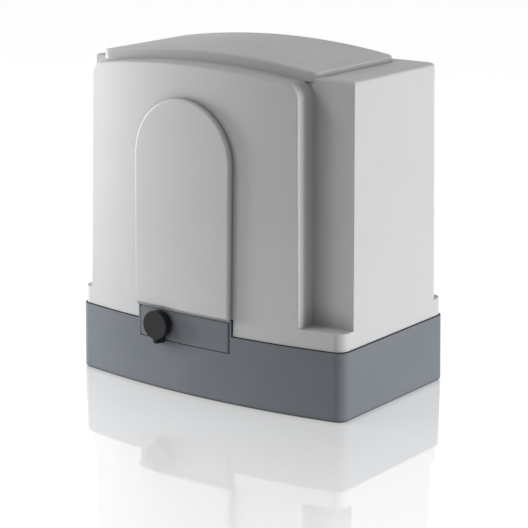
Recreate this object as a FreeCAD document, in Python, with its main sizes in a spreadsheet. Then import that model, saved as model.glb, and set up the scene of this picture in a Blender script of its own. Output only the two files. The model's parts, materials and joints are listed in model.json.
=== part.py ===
import FreeCAD, Part
import math
import os
import Sketcher

# Sliding gate motor: an outdoor gearmotor that drives a toothed rack at the back of its base.
# X is the width, Y the depth with the front at -Y, Z is up. The origin lies on the underside,
# at the centre of the floor fixing pattern.

Vector = FreeCAD.Vector
doc = FreeCAD.newDocument("SlidingGateMotor")

SIZES = {
    # Base and general outline
    "width": 320.0, "depth": 180.0, "front_radius": 797.0, "front_bulge": 16.2,
    "base_height": 67.0, "base_draft": 0.65, "base_wall": 4.0, "base_floor": 5.0,
    "corner_radius": 12.0, "foot_round": 3.0, "rib_height": 9.0, "rib_width": 3.0,
    "slot_spacing_x": 230.0, "slot_spacing_y": 110.0, "slot_width": 9.0, "slot_length": 24.0,
    "gland_x": -100.0, "gland_y": -35.0, "gland_radius": 15.0, "gland_bore": 5.0,
    # Moulded cover
    "cover_bottom": 68.0, "cover_inset": 2.2, "cover_wall": 3.0, "cover_draft": 1.05,
    "ledge_level": 85.0, "ledge_inset": 2.5, "block_front": -70.5, "block_back": 83.5,
    "block_corner": 18.0, "block_top": 316.5, "shell_left": -145.2, "shell_right": 112.5,
    "shell_overlap": 8.0, "shell_crown": 321.0, "shoulder_level": 298.3,
    "shoulder_radius": 15.0, "roof_left": -145.0, "roof_right": 111.0, "roof_front": -68.5,
    "roof_back": 66.5, "roof_edge": 321.2, "roof_arch": 801.0, "roof_corner": 9.0,
    "panel_x": -17.5, "panel_half": 58.3, "panel_centre": 231.3, "panel_proud": 4.6,
    "panel_bottom": 84.3,
    "panel_round": 2.2, "edge_round": 1.6, "block_round": 2.4,
    "hatch_gap": 1.0, "rear_gap": 1.5, "well_x": 112.0, "well_width": 22.0, "well_top": 126.0,
    "well_depth": 11.0, "screw_y": 79.0, "screw_radius": 2.5, "foot_bolt": 3.0,
    "tab_width": 16.0, "tab_depth": 9.0, "tab_thickness": 2.2, "tab_gap": 0.6,
    # Release door, its frame in the base, and the lock
    "frame_left": -74.7, "frame_right": 41.0, "frame_top": 83.2, "frame_bottom": 44.0,
    "frame_back": -90.0, "door_left": -71.5, "door_right": 38.5, "door_bottom": 51.0,
    "door_top": 80.7, "door_gap": 0.7, "door_thickness": 5.0, "door_corner": 2.0,
    "hinge_radius": 1.5, "hinge_x": 35.7, "hinge_y": -102.0, "barrel_radius": 2.7,
    "cam_reach": 6.0, "cam_radius": 4.0, "cam_low": 60.0, "cam_high": 72.0,
    "lock_x": -43.5, "lock_z": 67.5, "lock_body": 9.0, "lock_head": 10.0, "lock_plug": 5.5,
    "lock_nut_corner": 12.0, "cap_tab": 2.4, "cap_tab_fillet": 2.0,
    "lock_front": -113.0, "lock_back": -84.0, "cap_radius": 14.4, "cap_front": -116.4,
    "cap_disc": 2.4, "cap_skirt": 13.2, "cap_inner": 11.6, "cap_seat": -106.6,
    "cap_hinge_y": -108.3, "cap_hinge_z": 50.6, "cap_knuckle": 1.8, "cap_pin": 0.75,
    # Gearcase, shaft line and gears
    "shaft_x": -18.0, "shaft_z": 92.0, "wheel_y": -3.0, "gear_distance": 60.0,
    "gear_module": 3.0, "wheel_teeth": 30.0, "wheel_face": 24.0, "worm_pitch": 15.0,
    "worm_turns": 5.0, "flank_gap": 0.55, "chamber_radius": 50.5, "chamber_wall": 4.5,
    "chamber_front": -27.5, "chamber_back": 14.0, "case_foot": 15.0, "bed_thickness": 6.0,
    "plate_thickness": 7.5, "lug_radius": 5.2, "lug_ring": 55.0, "case_screw": 2.0,
    "worm_bore": 19.0, "column_radius": 24.0, "column_low": 33.0, "collar_radius": 28.0,
    "flange_low": 148.5, "flange_top": 157.0, "flange_side": 104.0, "flange_bolts": 44.0,
    "boss_radius": 34.0, "mask_back": 91.0, "mask_thickness": 8.0, "mask_half": 38.0,
    "mask_bottom": 55.5, "mask_arch": 125.0, "shaft_radius": 12.5, "shaft_nose": 10.0,
    "shaft_front": -38.5, "shaft_end": 128.0, "rod_radius": 4.0, "running_gap": 0.06,
    "seat_gap": 0.05, "pinion_module": 4.0, "pinion_teeth": 16.0, "pinion_front": 101.0,
    "pinion_face": 27.0, "pinion_hub": 20.0, "hub_front": 93.0, "key_width": 8.0,
    "key_height": 7.0, "key_length": 25.0,
    # Bearings: outer radius, and where each one starts
    "small_bearing": 17.5, "small_width": 11.0, "nose_bearing": 23.5, "nose_width": 14.0,
    "shaft_bearing": 26.0, "shaft_width": 15.0, "rear_seat": 62.0, "seal_front": 80.0,
    "seal_width": 7.0, "worm_seat": 37.0, "worm_journal": 7.5, "rotor_journal": 10.0,
    # Motor
    "rotor_radius": 28.5, "air_gap": 0.5, "motor_radius": 50.0, "frame_wall": 4.0,
    "frame_flange": 5.0, "fin_height": 2.2, "fin_width": 2.0, "stack_low": 172.0,
    "stack_high": 242.0, "winding_length": 14.0, "winding_inner": 31.0,
    "winding_outer": 43.0, "motor_top": 259.0, "cap_height": 17.0,
    # Electrical pieces
    "tray_left": -134.0, "tray_right": -28.0, "tray_low": 150.0, "tray_high": 282.0,
    "tray_front": -66.0, "tray_depth": 4.0, "board_gap": 1.0, "board_thickness": 1.6,
    "board_inset": 4.0, "core_x": -110.0, "core_y": 12.0, "core_width": 66.0,
    "core_height": 55.0, "core_depth": 28.0, "core_limb": 11.0, "core_low": 14.5,
    "can_x": 122.0, "can_y": -2.0, "can_radius": 18.0, "can_low": 8.0, "can_height": 74.0,
    # Limit switch
    "switch_z": 146.0, "switch_half": 24.0, "switch_front": 58.0, "switch_back": 78.0,
    "switch_low": 133.0, "switch_high": 160.0, "lever_radius": 8.0, "lever_shaft": 3.0,
    "lever_front": 91.5, "lever_back": 97.0, "spring_radius": 2.4, "spring_top": 204.0,
}


class Size:
    """A number that remembers the spreadsheet expression it comes from."""

    def __init__(self, value, text):
        self.value = value
        self.text = text

    def join(self, other, sign, value, swapped=False):
        left, right = text_of(self), text_of(other)
        if swapped:
            left, right = right, left
        return Size(value, f"({left} {sign} {right})")

    def __add__(self, other):
        return self.join(other, "+", self.value + number(other))

    def __radd__(self, other):
        return self.join(other, "+", number(other) + self.value, True)

    def __sub__(self, other):
        return self.join(other, "-", self.value - number(other))

    def __rsub__(self, other):
        return self.join(other, "-", number(other) - self.value, True)

    def __mul__(self, other):
        return self.join(other, "*", self.value * number(other))

    def __rmul__(self, other):
        return self.join(other, "*", number(other) * self.value, True)

    def __truediv__(self, other):
        return self.join(other, "/", self.value / number(other))

    def __neg__(self):
        return Size(-self.value, f"(0 - {self.text})")

    def root(self):
        return Size(math.sqrt(self.value), f"sqrt({self.text})")


def number(size):
    return size.value if isinstance(size, Size) else float(size)


def text_of(size):
    return size.text if isinstance(size, Size) else repr(float(size))


def make_sheet():
    sheet = doc.addObject("Spreadsheet::Sheet", "Sizes")
    sizes = {}
    for row, (alias, value) in enumerate(SIZES.items(), 1):
        sheet.set(f"A{row}", alias)
        sheet.set(f"B{row}", str(value))
        sheet.setAlias(f"B{row}", alias)
        sizes[alias] = Size(value, f"Sizes.{alias}")
    doc.recompute()
    return sizes


sizes = make_sheet()
nodes = {}


def s(alias):
    return sizes[alias]


def bind(thing, prop, size):
    """Ties a property to the sheet, or sets a plain number."""
    if isinstance(size, Size):
        thing.setExpression(prop, size.text)
    elif "." in prop:
        thing.setExpression(prop, repr(float(size)))
    else:
        setattr(thing, prop, size)


def node(thing, name):
    """Registers a finished sub-part under the name of its file."""
    thing.Label = name
    nodes[name] = thing
    return thing


# ---- Part primitives -------------------------------------------------------------------------

TURNS = {"z": FreeCAD.Rotation(), "y": FreeCAD.Rotation(Vector(1, 0, 0), -90),
         "x": FreeCAD.Rotation(Vector(0, 1, 0), 90)}


def place(thing, at, axis="z"):
    thing.Placement = FreeCAD.Placement(Vector(*[number(part) for part in at]), TURNS[axis])
    for letter, part in zip("xyz", at):
        bind(thing, f"Placement.Base.{letter}", part)
    return thing


def cylinder(name, radius, length, at=(0, 0, 0), axis="z"):
    thing = doc.addObject("Part::Cylinder", name)
    bind(thing, "Radius", radius)
    bind(thing, "Height", length)
    return place(thing, at, axis)


def box(name, low, high):
    """A block between two corners."""
    thing = doc.addObject("Part::Box", name)
    for prop, start, end in zip(("Length", "Width", "Height"), low, high):
        bind(thing, prop, end - start)
    return place(thing, low)


def prism(name, corners, radius, height, at, axis="z"):
    thing = doc.addObject("Part::Prism", name)
    thing.Polygon = corners
    bind(thing, "Circumradius", radius)
    bind(thing, "Height", height)
    return place(thing, at, axis)


def fuse(name, *things):
    thing = doc.addObject("Part::MultiFuse", name)
    thing.Shapes = list(things)
    return thing


def cut(name, base, *tools):
    thing = doc.addObject("Part::Cut", name)
    thing.Base = base
    thing.Tool = tools[0] if len(tools) == 1 else fuse(name + "Tools", *tools)
    return thing


def group(name, *things):
    """Separate identical solids that share a node."""
    thing = doc.addObject("Part::Compound", name)
    thing.Links = list(things)
    return thing


# ---- PartDesign helpers ----------------------------------------------------------------------

def new_body(name):
    return doc.addObject("PartDesign::Body", name)


def sketch_on(body, name, plane, level=0):
    """A sketch on one of the body's own origin planes, moved to a coordinate along its axis."""
    sketch = body.newObject("Sketcher::SketchObject", name)
    role = plane + "_Plane"
    datum = [item for item in body.Origin.OriginFeatures if item.Role == role][0]
    sketch.AttachmentSupport = [(datum, "")]
    sketch.MapMode = "FlatFace"
    offset = -level if plane == "XZ" else level
    bind(sketch, "AttachmentOffset.Base.z", offset)
    return sketch


def hold(sketch, kind, *rest):
    """Adds a constraint whose last value may come from the sheet."""
    size = rest[-1]
    index = sketch.addConstraint(Sketcher.Constraint(kind, *rest[:-1], number(size)))
    if isinstance(size, Size):
        sketch.setExpression(f"Constraints[{index}]", size.text)


def pin_point(sketch, index, end, x, y):
    """Fixes a point of the sketch at coordinates from the sheet."""
    for kind, axis, size in (("DistanceX", -2, x), ("DistanceY", -1, y)):
        if abs(number(size)) < 1e-9:
            sketch.addConstraint(Sketcher.Constraint("PointOnObject", index, end, axis))
        else:
            hold(sketch, kind, -1, 1, index, end, size)


def arc_between(start, end, radius):
    """Minor arc from start to end; a positive radius has its centre on the left of the way."""
    chord = end - start
    reach = math.sqrt(max(radius * radius - chord.Length ** 2 / 4, 0))
    left = Vector(-chord.y, chord.x, 0).normalize()
    centre = (start + end) * 0.5 + left * (reach if radius > 0 else -reach)
    first, last = (start, end) if radius > 0 else (end, start)
    angles = [math.atan2(point.y - centre.y, point.x - centre.x) for point in (first, last)]
    return Part.ArcOfCircle(Part.Circle(centre, Vector(0, 0, 1), abs(radius)), *angles)


def outline(sketch, points):
    """Closed outline through points (x, y) or (x, y, radius of the arc to the next point)."""
    spots = [Vector(number(point[0]), number(point[1]), 0) for point in points]
    ends = []
    for number_of, point in enumerate(points):
        start, end = spots[number_of], spots[(number_of + 1) % len(points)]
        if len(point) == 2:
            index = sketch.addGeometry(Part.LineSegment(start, end))
            ends.append((index, 1, 2))
            continue
        radius = point[2]
        index = sketch.addGeometry(arc_between(start, end, number(radius)))
        turned_left = number(radius) > 0
        ends.append((index, 1, 2) if turned_left else (index, 2, 1))
        hold(sketch, "Radius", index, radius if turned_left else -radius)
    for number_of, (index, first, last) in enumerate(ends):
        pin_point(sketch, index, first, *points[number_of][:2])
        after, after_first, _ = ends[(number_of + 1) % len(ends)]
        sketch.addConstraint(Sketcher.Constraint("Coincident", index, last, after, after_first))
    return sketch


def rectangle(sketch, left, low, right, high):
    return outline(sketch, [(left, low), (right, low), (right, high), (left, high)])


def circle(sketch, x, y, radius):
    index = sketch.addGeometry(
        Part.Circle(Vector(number(x), number(y), 0), Vector(0, 0, 1), number(radius)))
    hold(sketch, "Radius", index, radius)
    pin_point(sketch, index, 3, x, y)
    return sketch


def slot(sketch, x, y, length, width):
    """A slot that runs along X."""
    half, end = width / 2, (length - width) / 2
    return outline(sketch, [
        (x - end, y - half), (x + end, y - half, half), (x + end + half, y, half),
        (x + end, y + half), (x - end, y + half, half), (x - end - half, y, half)])


def extrude(body, sketch, kind, length, taper=None, back=False, both=False):
    before = body.Tip.Shape.Volume if kind == "Pocket" else None
    feature = body.newObject("PartDesign::" + kind, kind)
    feature.Profile = sketch
    bind(feature, "Length", length)
    if taper is not None:
        bind(feature, "TaperAngle", taper)
    if both:
        feature.SideType = "Symmetric"
    feature.Reversed = back
    doc.recompute()
    if before is not None and feature.Shape.Volume > before - 0.5:
        raise RuntimeError(f"{body.Name}: a pocket removes nothing")
    return feature


def pad(body, sketch, length, taper=None, back=False, both=False):
    return extrude(body, sketch, "Pad", length, taper, back, both)


def pocket(body, sketch, length, taper=None, back=False, both=False):
    return extrude(body, sketch, "Pocket", length, taper, back, both)


def dress(body, kind, test, size):
    """Fillet or Chamfer on the edges of the tip that pass the test."""
    tip = body.Tip
    names = [f"Edge{index}" for index, edge in enumerate(tip.Shape.Edges, 1) if test(edge)]
    if not names:
        raise RuntimeError(f"{body.Name}: no edge to dress")
    feature = body.newObject("PartDesign::" + kind, kind)
    feature.Base = (tip, names)
    bind(feature, "Radius" if kind == "Fillet" else "Size", size)
    doc.recompute()
    if "Invalid" in feature.State or not feature.Shape.isValid():
        raise RuntimeError(f"{body.Name}: {kind} failed on {names}")
    return feature


def middle(edge):
    return edge.valueAt((edge.FirstParameter + edge.LastParameter) / 2)


def upright(edge, length=5.0):
    """True for an edge that runs up a drafted wall."""
    extent = edge.BoundBox
    return extent.ZLength > length and max(extent.XLength, extent.YLength) < 0.1 * extent.ZLength


def turned(name, profile, at=(0, 0, 0), axis="z"):
    """A turned piece: (radius, height) points revolved about the body's Z axis."""
    body = new_body(name)
    sketch = outline(sketch_on(body, name + "Profile", "XZ"), profile)
    feature = body.newObject("PartDesign::Revolution", "Turning")
    feature.Profile = sketch
    feature.ReferenceAxis = (sketch, ["V_Axis"])
    feature.Angle = 360
    doc.recompute()
    return place(body, at, axis)


def ring(name, outer, inner, width, at, axis="y"):
    """A bearing, seal or bush as a chamfer-free ring."""
    return turned(name, [(inner, 0), (outer, 0), (outer, width), (inner, width)], at, axis)


# ---- Base ------------------------------------------------------------------------------------

def front_y(x, inset=0.0):
    """Where the bulged front, drawn in by an inset, lies at a given X."""
    radius, half = s("front_radius"), s("width") / 2
    centre = (radius * radius - half * half).root() - s("depth") / 2
    inner = radius - inset
    return centre - (inner * inner - x * x).root()


def footprint(sketch, inset):
    """The motor's plan outline: straight sides and back, and a front that bulges."""
    half, back = s("width") / 2 - inset, s("depth") / 2 - inset
    front = front_y(half, inset)
    return outline(sketch, [(-half, back), (-half, front, s("front_radius") - inset),
                            (half, front), (half, back)])


def front_block(sketch, left, right, back, inset):
    """A plan outline whose front follows the bulge between two X values."""
    return outline(sketch, [(left, back), (left, front_y(left, inset), s("front_radius") - inset),
                            (right, front_y(right, inset)), (right, back)])


def draft_of(level, low, angle):
    """How far a drafted wall has moved in at a level."""
    return (level - low) * math.tan(math.radians(SIZES[angle]))


def base_housing():
    body = new_body("BaseHousing")
    floor, top = s("base_floor"), s("base_height")
    pad(body, footprint(sketch_on(body, "Outline", "XY"), 0.0), top, -s("base_draft"))
    dress(body, "Fillet", upright, s("corner_radius"))
    dress(body, "Fillet", lambda edge: edge.BoundBox.ZMax < 0.01, s("foot_round"))
    inset = s("base_wall") + draft_of(top, 0.0, "base_draft")
    pocket(body, footprint(sketch_on(body, "Inside", "XY", top), inset), top - floor)
    dress(body, "Fillet", lambda edge: upright(edge, 50) and 153 < abs(middle(edge).x) < 156,
          s("corner_radius") - s("base_wall"))

    # The narrow frame round the release door stands up into the cover
    low = s("frame_bottom")
    sketch = sketch_on(body, "FrameBlock", "XY", low)
    front_block(sketch, s("frame_left"), s("frame_right"), s("frame_back"),
                draft_of(low, 0.0, "base_draft"))
    pad(body, sketch, s("frame_top") - low, -s("base_draft"))
    gap = s("door_gap")
    front = -(s("depth") / 2) - s("front_bulge") - 5.0
    sketch = sketch_on(body, "DoorOpening", "XZ", front)
    rectangle(sketch, s("door_left") - gap, s("door_bottom") - gap, s("door_right") + gap,
              s("door_top") + gap)
    pocket(body, sketch, s("frame_back") - front + 1.0)

    # Room for the door's cam, and the two bores of its hinge pin
    wide = s("hinge_x") + s("cam_reach") + s("cam_radius") + 2.0
    sketch = sketch_on(body, "CamRoom", "XY", s("cam_high") + 2.0)
    rectangle(sketch, s("door_right"), s("hinge_y") - 1.0, wide, s("frame_back") + 2.0)
    pocket(body, sketch, s("cam_high") - s("cam_low") + 4.0)
    sketch = sketch_on(body, "PinBore", "XY", s("frame_top") - 0.8)
    circle(sketch, s("hinge_x"), s("hinge_y"), s("hinge_radius") + s("running_gap"))
    pocket(body, sketch, s("frame_top") - s("frame_bottom") - 1.6)

    # The rear wall opens upwards round the gearcase's mask
    back = s("depth") / 2
    half = s("mask_half") + s("rear_gap")
    sketch = sketch_on(body, "RearOpening", "XZ", back + 1.0)
    rectangle(sketch, s("shaft_x") - half, s("mask_bottom") - 1.0, s("shaft_x") + half, top + 1.0)
    pocket(body, sketch, s("base_wall") + 3.0, back=True)

    # Slots for the floor bolts, and the opening for the cables
    sketch = sketch_on(body, "FloorSlots", "XY", floor)
    for side in (-1, 1):
        for row in (-1, 1):
            slot(sketch, s("slot_spacing_x") * side / 2, s("slot_spacing_y") * row / 2,
                 s("slot_length"), s("slot_width"))
    circle(sketch, s("gland_x"), s("gland_y"), s("gland_radius") - 2.5)
    pocket(body, sketch, floor + 1.0)

    # Stiffening ribs on the floor, between the slots
    rib, reach = s("rib_width") / 2, s("depth") / 2 - s("base_wall")
    sketch = sketch_on(body, "Ribs", "XY", floor)
    for x in (s("shaft_x") - 60.0, s("shaft_x") + 96.0):
        rectangle(sketch, x - rib, -reach, x + rib, reach)
    pad(body, sketch, s("rib_height"))

    # Bosses under the gearcase's feet, and columns for the cover screws
    sketch = sketch_on(body, "FootBosses", "XY", floor)
    for x, y in foot_places():
        circle(sketch, x, y, 8.0)
    pad(body, sketch, s("case_foot") - floor)
    sketch = sketch_on(body, "FootBores", "XY", s("case_foot"))
    for x, y in foot_places():
        circle(sketch, x, y, s("foot_bolt") + s("seat_gap"))
    pocket(body, sketch, s("case_foot") - 3.0)
    sketch = sketch_on(body, "ScrewColumns", "XY", floor)
    for side in (-1, 1):
        circle(sketch, s("well_x") * side, s("screw_y"), 6.5)
    pad(body, sketch, top - floor)
    sketch = sketch_on(body, "ScrewBores", "XY", top)
    for side in (-1, 1):
        circle(sketch, s("well_x") * side, s("screw_y"), s("screw_radius") + s("running_gap"))
    pocket(body, sketch, 24.0)
    return node(body, "base_housing")


def foot_places():
    """The four feet of the gearcase, around the shaft line and the motor."""
    left, right = s("shaft_x") - 46.0, s("shaft_x") + 84.0
    near, far = s("wheel_y") - 34.0, s("wheel_y") + 56.0
    return [(left, near), (right, near), (left, far), (right, far)]


# ---- Cover -----------------------------------------------------------------------------------

def combine(body, kind, *tools):
    """PartDesign boolean of the body with helper bodies: Fuse, Cut or Common."""
    feature = body.newObject("PartDesign::Boolean", kind)
    feature.setObjects(list(tools))
    feature.Type = kind
    doc.recompute()
    return feature


def shell_form(name, wall):
    """The front shell: bulged, with rounded shoulders that run into a shallow arch."""
    base, level = s("ledge_level") - wall, s("shoulder_level")
    inset, lean = s("ledge_inset") + wall, math.radians(SIZES["cover_draft"])
    left, right = s("shell_left") + wall, s("shell_right") - wall
    back = s("block_front") + s("shell_overlap") + wall
    crown, radius = s("shell_crown") - wall, s("shoulder_radius") - wall
    plan = new_body(name + "Plan")
    sketch = front_block(sketch_on(plan, name + "PlanOutline", "XY", base), left - 20.0,
                         right + 20.0, back, inset)
    pad(plan, sketch, crown + 5.0 - base, -s("cover_draft"))

    # The shoulders' arcs meet both the drafted sides and the arch without a corner
    body = new_body(name)
    side = (level - base) * math.tan(lean) + radius / math.cos(lean)
    left_x, right_x, middle_x = left + side, right - side, (left + right) / 2
    half, rise = right_x - middle_x, crown - level
    arch = (half * half + rise * rise - radius * radius) / (2 * (rise - radius))
    reach = arch / (arch - radius)
    touch_z = crown - arch + (level - crown + arch) * reach
    edge_x, edge_z = radius * math.cos(lean), level + radius * math.sin(lean)
    sketch = sketch_on(body, name + "Face", "XZ", back)
    outline(sketch, [
        (left, base), (right, base), (right_x + edge_x, edge_z, radius),
        (middle_x + half * reach, touch_z, arch), (middle_x - half * reach, touch_z, radius),
        (left_x - edge_x, edge_z)])
    pad(body, sketch, s("depth"))
    combine(body, "Common", plan)
    if not wall:
        dress(body, "Fillet", lambda edge: middle(edge).y < -85 and edge.BoundBox.ZMax > base.value
              + 5 and edge.Length > 15, s("edge_round"))
    return body


def panel_form():
    """The raised panel on the front, round at its top, down to the release door."""
    body = new_body("FrontPanel")
    inset = s("ledge_inset") - s("panel_proud")
    left, right = s("panel_x") - s("panel_half"), s("panel_x") + s("panel_half")
    back = s("block_front") - 10.0
    low, centre = s("panel_bottom"), s("panel_centre")
    sketch = front_block(sketch_on(body, "PanelPlan", "XY", low), left, right, back, inset)
    radius = s("panel_half") - draft_of(centre, low, "cover_draft")
    pad(body, sketch, centre + radius + 1.0 - low, -s("cover_draft"))
    sketch = sketch_on(body, "PanelTop", "XZ", -s("depth"))
    far, x = s("panel_half") + 9.0, s("panel_x")
    outline(sketch, [
        (x - far, centre), (x - radius, centre, -radius), (x, centre + radius, -radius),
        (x + radius, centre), (x + far, centre), (x + far, centre + far), (x - far, centre + far)])
    pocket(body, sketch, s("depth") * 2)
    dress(body, "Fillet", lambda edge: middle(edge).y < -95 and middle(edge).z > 90,
          s("panel_round"))
    return body


def roof_form(name, wall):
    """The arched roof that stands on the cover's flat top."""
    body = new_body(name)
    low = s("block_top") - 4.0 - wall
    edge = s("roof_edge") - wall
    left, right = s("roof_left") + wall, s("roof_right") - wall
    sketch = sketch_on(body, name + "Arch", "XZ", s("roof_front") + wall)
    outline(sketch, [(left, low), (right, low), (right, edge, s("roof_arch")), (left, edge)])
    pad(body, sketch, s("roof_back") - s("roof_front") - 2 * wall, back=True)
    dress(body, "Fillet", upright, s("roof_corner") - wall)
    if not wall:
        dress(body, "Fillet", lambda item: middle(item).z > edge.value - 0.5, s("edge_round"))
    return body


def cover_form(name, wall):
    """The cover's outer form, or with a wall thickness the form of its hollow."""
    body = new_body(name)
    low, ledge = s("cover_bottom"), s("ledge_level")
    start = low - (1.0 if wall else 0.0)
    sketch = footprint(sketch_on(body, name + "Skirt", "XY", start), s("cover_inset") + wall)
    pad(body, sketch, ledge - start - wall, -s("cover_draft"))
    dress(body, "Fillet", upright, s("corner_radius") - wall)
    half, round_off = s("width") / 2 - s("ledge_inset") - wall, s("block_corner") - wall
    front, back = s("block_front") + wall, s("block_back") - wall
    sketch = sketch_on(body, name + "Block", "XY", ledge - wall)
    outline(sketch, [(-half, front), (half, front), (half, back - round_off, round_off),
                     (half - round_off, back), (round_off - half, back, round_off),
                     (-half, back - round_off)])
    pad(body, sketch, s("block_top") - ledge, -s("cover_draft"))
    if not wall:
        top = SIZES["block_top"] - 0.1
        dress(body, "Fillet", lambda edge: edge.BoundBox.ZMin > top, s("block_round"))
    combine(body, "Fuse", shell_form(name + "Shell", wall), roof_form(name + "Roof", wall))
    return body


def cover():
    body = cover_form("Cover", 0.0)
    combine(body, "Fuse", panel_form())
    combine(body, "Cut", cover_form("CoverHollow", s("cover_wall")))
    low, ledge, wall = s("cover_bottom"), s("ledge_level"), s("cover_wall")

    # Cut-out round the door frame, and the rear opening round the gearcase's mask
    gap = s("hatch_gap")
    sketch = sketch_on(body, "Hatch", "XZ", -s("depth"))
    rectangle(sketch, s("frame_left") - gap, low - 1.0, s("frame_right") + gap,
              s("frame_top") + gap)
    pocket(body, sketch, s("depth") - 84.0)
    half, x = s("mask_half") + s("rear_gap"), s("shaft_x")
    sketch = sketch_on(body, "RearArch", "XZ", s("depth"))
    outline(sketch, [
        (x - half, low - 1.0), (x + half, low - 1.0), (x + half, s("mask_arch"), half),
        (x, s("mask_arch") + half, half), (x - half, s("mask_arch"))])
    pocket(body, sketch, s("depth") - 70.0, back=True)

    # Screw wells in the rear wall, each with a post that stands on the base
    inner, outer = s("well_width") / 2, s("well_width") / 2 + wall
    floor = ledge - wall
    back = s("block_back") - 1.5
    front = s("block_back") - s("well_depth")
    sketch = sketch_on(body, "WellWalls", "XY", floor)
    for side in (-1, 1):
        middle_x = s("well_x") * side
        rectangle(sketch, middle_x - outer, front - wall, middle_x + outer, back)
    pad(body, sketch, s("well_top") + wall - floor)
    sketch = sketch_on(body, "Wells", "XY", s("well_top"))
    for side in (-1, 1):
        middle_x = s("well_x") * side
        rectangle(sketch, middle_x - inner, front, middle_x + inner, s("depth") / 2 + 5.0)
    pocket(body, sketch, s("well_top") - ledge)
    sketch = sketch_on(body, "WellPosts", "XY", low + 0.3)
    for side in (-1, 1):
        circle(sketch, s("well_x") * side, s("screw_y"), 6.0)
    pad(body, sketch, ledge - low - 1.0)
    sketch = sketch_on(body, "WellBores", "XY", ledge + 1.0)
    for side in (-1, 1):
        circle(sketch, s("well_x") * side, s("screw_y"), s("screw_radius") + 0.3)
    pocket(body, sketch, ledge - low + 2.0)

    # Tabs that reach down inside the base and locate the cover
    outside = s("width") / 2 - s("base_wall") - draft_of(s("base_height"), 0.0, "base_draft")
    outside = outside - s("tab_gap")
    thick, reach = s("tab_thickness"), s("tab_width") / 2
    sketch = sketch_on(body, "Tabs", "XY", low - s("tab_depth"))
    for side in (-1, 1):
        for y in (-35.0, 35.0):
            near, far = outside * side - thick / 2 * side, y
            middle_x = near
            rectangle(sketch, middle_x - thick / 2, far - reach, middle_x + thick / 2, far + reach)
    pad(body, sketch, s("tab_depth") + ledge - low)
    return node(body, "cover")


def cover_screws():
    """Two pan-head screws that hold the cover down at the back."""
    screws = []
    for side in (-1, 1):
        x, y, seat = s("well_x") * side, s("screw_y"), s("ledge_level") + 0.05
        name = "CoverScrew" + ("Left" if side < 0 else "Right")
        radius = s("screw_radius")
        screws.append(turned(name, [
            (0, -36.0), (radius - 0.8, -36.0), (radius, -34.5), (radius, 0), (4.6, 0), (4.6, 2.2),
            (3.4, 3.4), (1.6, 3.4), (1.6, 1.4), (0, 1.4)], (x, y, seat)))
    return node(group("CoverScrews", *screws), "cover_screws")


def cover_gasket():
    """A flat rubber ring on the base's rim, cut away at the door frame and the mask."""
    body = new_body("CoverGasket")
    level = s("base_height") + 0.05
    rim = draft_of(s("base_height"), 0.0, "base_draft")
    footprint(sketch := sketch_on(body, "GasketOutside", "XY", level), rim + 1.3)
    pad(body, sketch, 0.6)
    dress(body, "Fillet", lambda edge: edge.BoundBox.ZLength > 0.5, s("corner_radius") - 1.3)
    sketch = footprint(sketch_on(body, "GasketInside", "XY", level + 1.0), rim + 3.4)
    pocket(body, sketch, 3.0)
    sketch = sketch_on(body, "GasketGaps", "XY", level + 1.0)
    half = s("mask_half") + s("rear_gap")
    rectangle(sketch, s("frame_left") - 1.0, -s("depth"), s("frame_right") + 1.0, -80.0)
    rectangle(sketch, s("shaft_x") - half, 75.0, s("shaft_x") + half, s("depth"))
    pocket(body, sketch, 3.0)
    return node(body, "cover_gasket")


# ---- Release door and lock -------------------------------------------------------------------

def door_inset():
    """How far the door's face lies behind the base's outline at the floor."""
    return draft_of(s("door_bottom"), 0.0, "base_draft") + 0.15


def release_door():
    """The curved door: a hinge barrel and cam at its right end, the lock at its left."""
    body = new_body("ReleaseDoor")
    low, high = s("door_bottom"), s("door_top")
    inset = door_inset()
    thick, x, y = s("door_thickness"), s("hinge_x"), s("hinge_y")
    left, right = s("door_left"), x
    radius = s("front_radius") - inset
    back_radius = radius - thick
    sketch = sketch_on(body, "DoorPlan", "XY", low)
    outline(sketch, [
        (right, front_y(right, inset + thick), -back_radius), (left, front_y(left, inset + thick)),
        (left, front_y(left, inset), radius), (right, front_y(right, inset))])
    pad(body, sketch, high - low)
    sketch = circle(sketch_on(body, "HingeBarrel", "XY", low), x, y, s("barrel_radius"))
    pad(body, sketch, high - low)
    dress(body, "Fillet", lambda edge: abs(edge.BoundBox.YMax - edge.BoundBox.YMin) > 4
          and edge.BoundBox.XMax < left.value + 0.5 and edge.BoundBox.ZLength < 0.1,
          s("door_corner"))
    cam, arm = s("cam_radius"), s("cam_reach")
    sketch = sketch_on(body, "Cam", "XY", s("cam_low"))
    outline(sketch, [(x, y + cam - 1.0), (x, y - 0.6), (x + arm, y - 0.6), (x + arm, y + cam - 1.0)])
    pad(body, sketch, s("cam_high") - s("cam_low"))
    sketch = sketch_on(body, "LockBore", "XZ", -s("depth"))
    circle(sketch, s("lock_x"), s("lock_z"), s("lock_body") + s("seat_gap"))
    pocket(body, sketch, s("depth"))
    sketch = sketch_on(body, "HingeBore", "XY", high)
    circle(sketch, x, y, s("hinge_radius") + s("running_gap"))
    pocket(body, sketch, high - low)
    return node(body, "release_door")


def door_hinge_pin():
    low = s("frame_bottom") + 1.0
    top = s("frame_top") - 1.0
    return node(cylinder("HingePin", s("hinge_radius"), top - low,
                         (s("hinge_x"), s("hinge_y"), low)), "door_hinge_pin")


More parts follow.
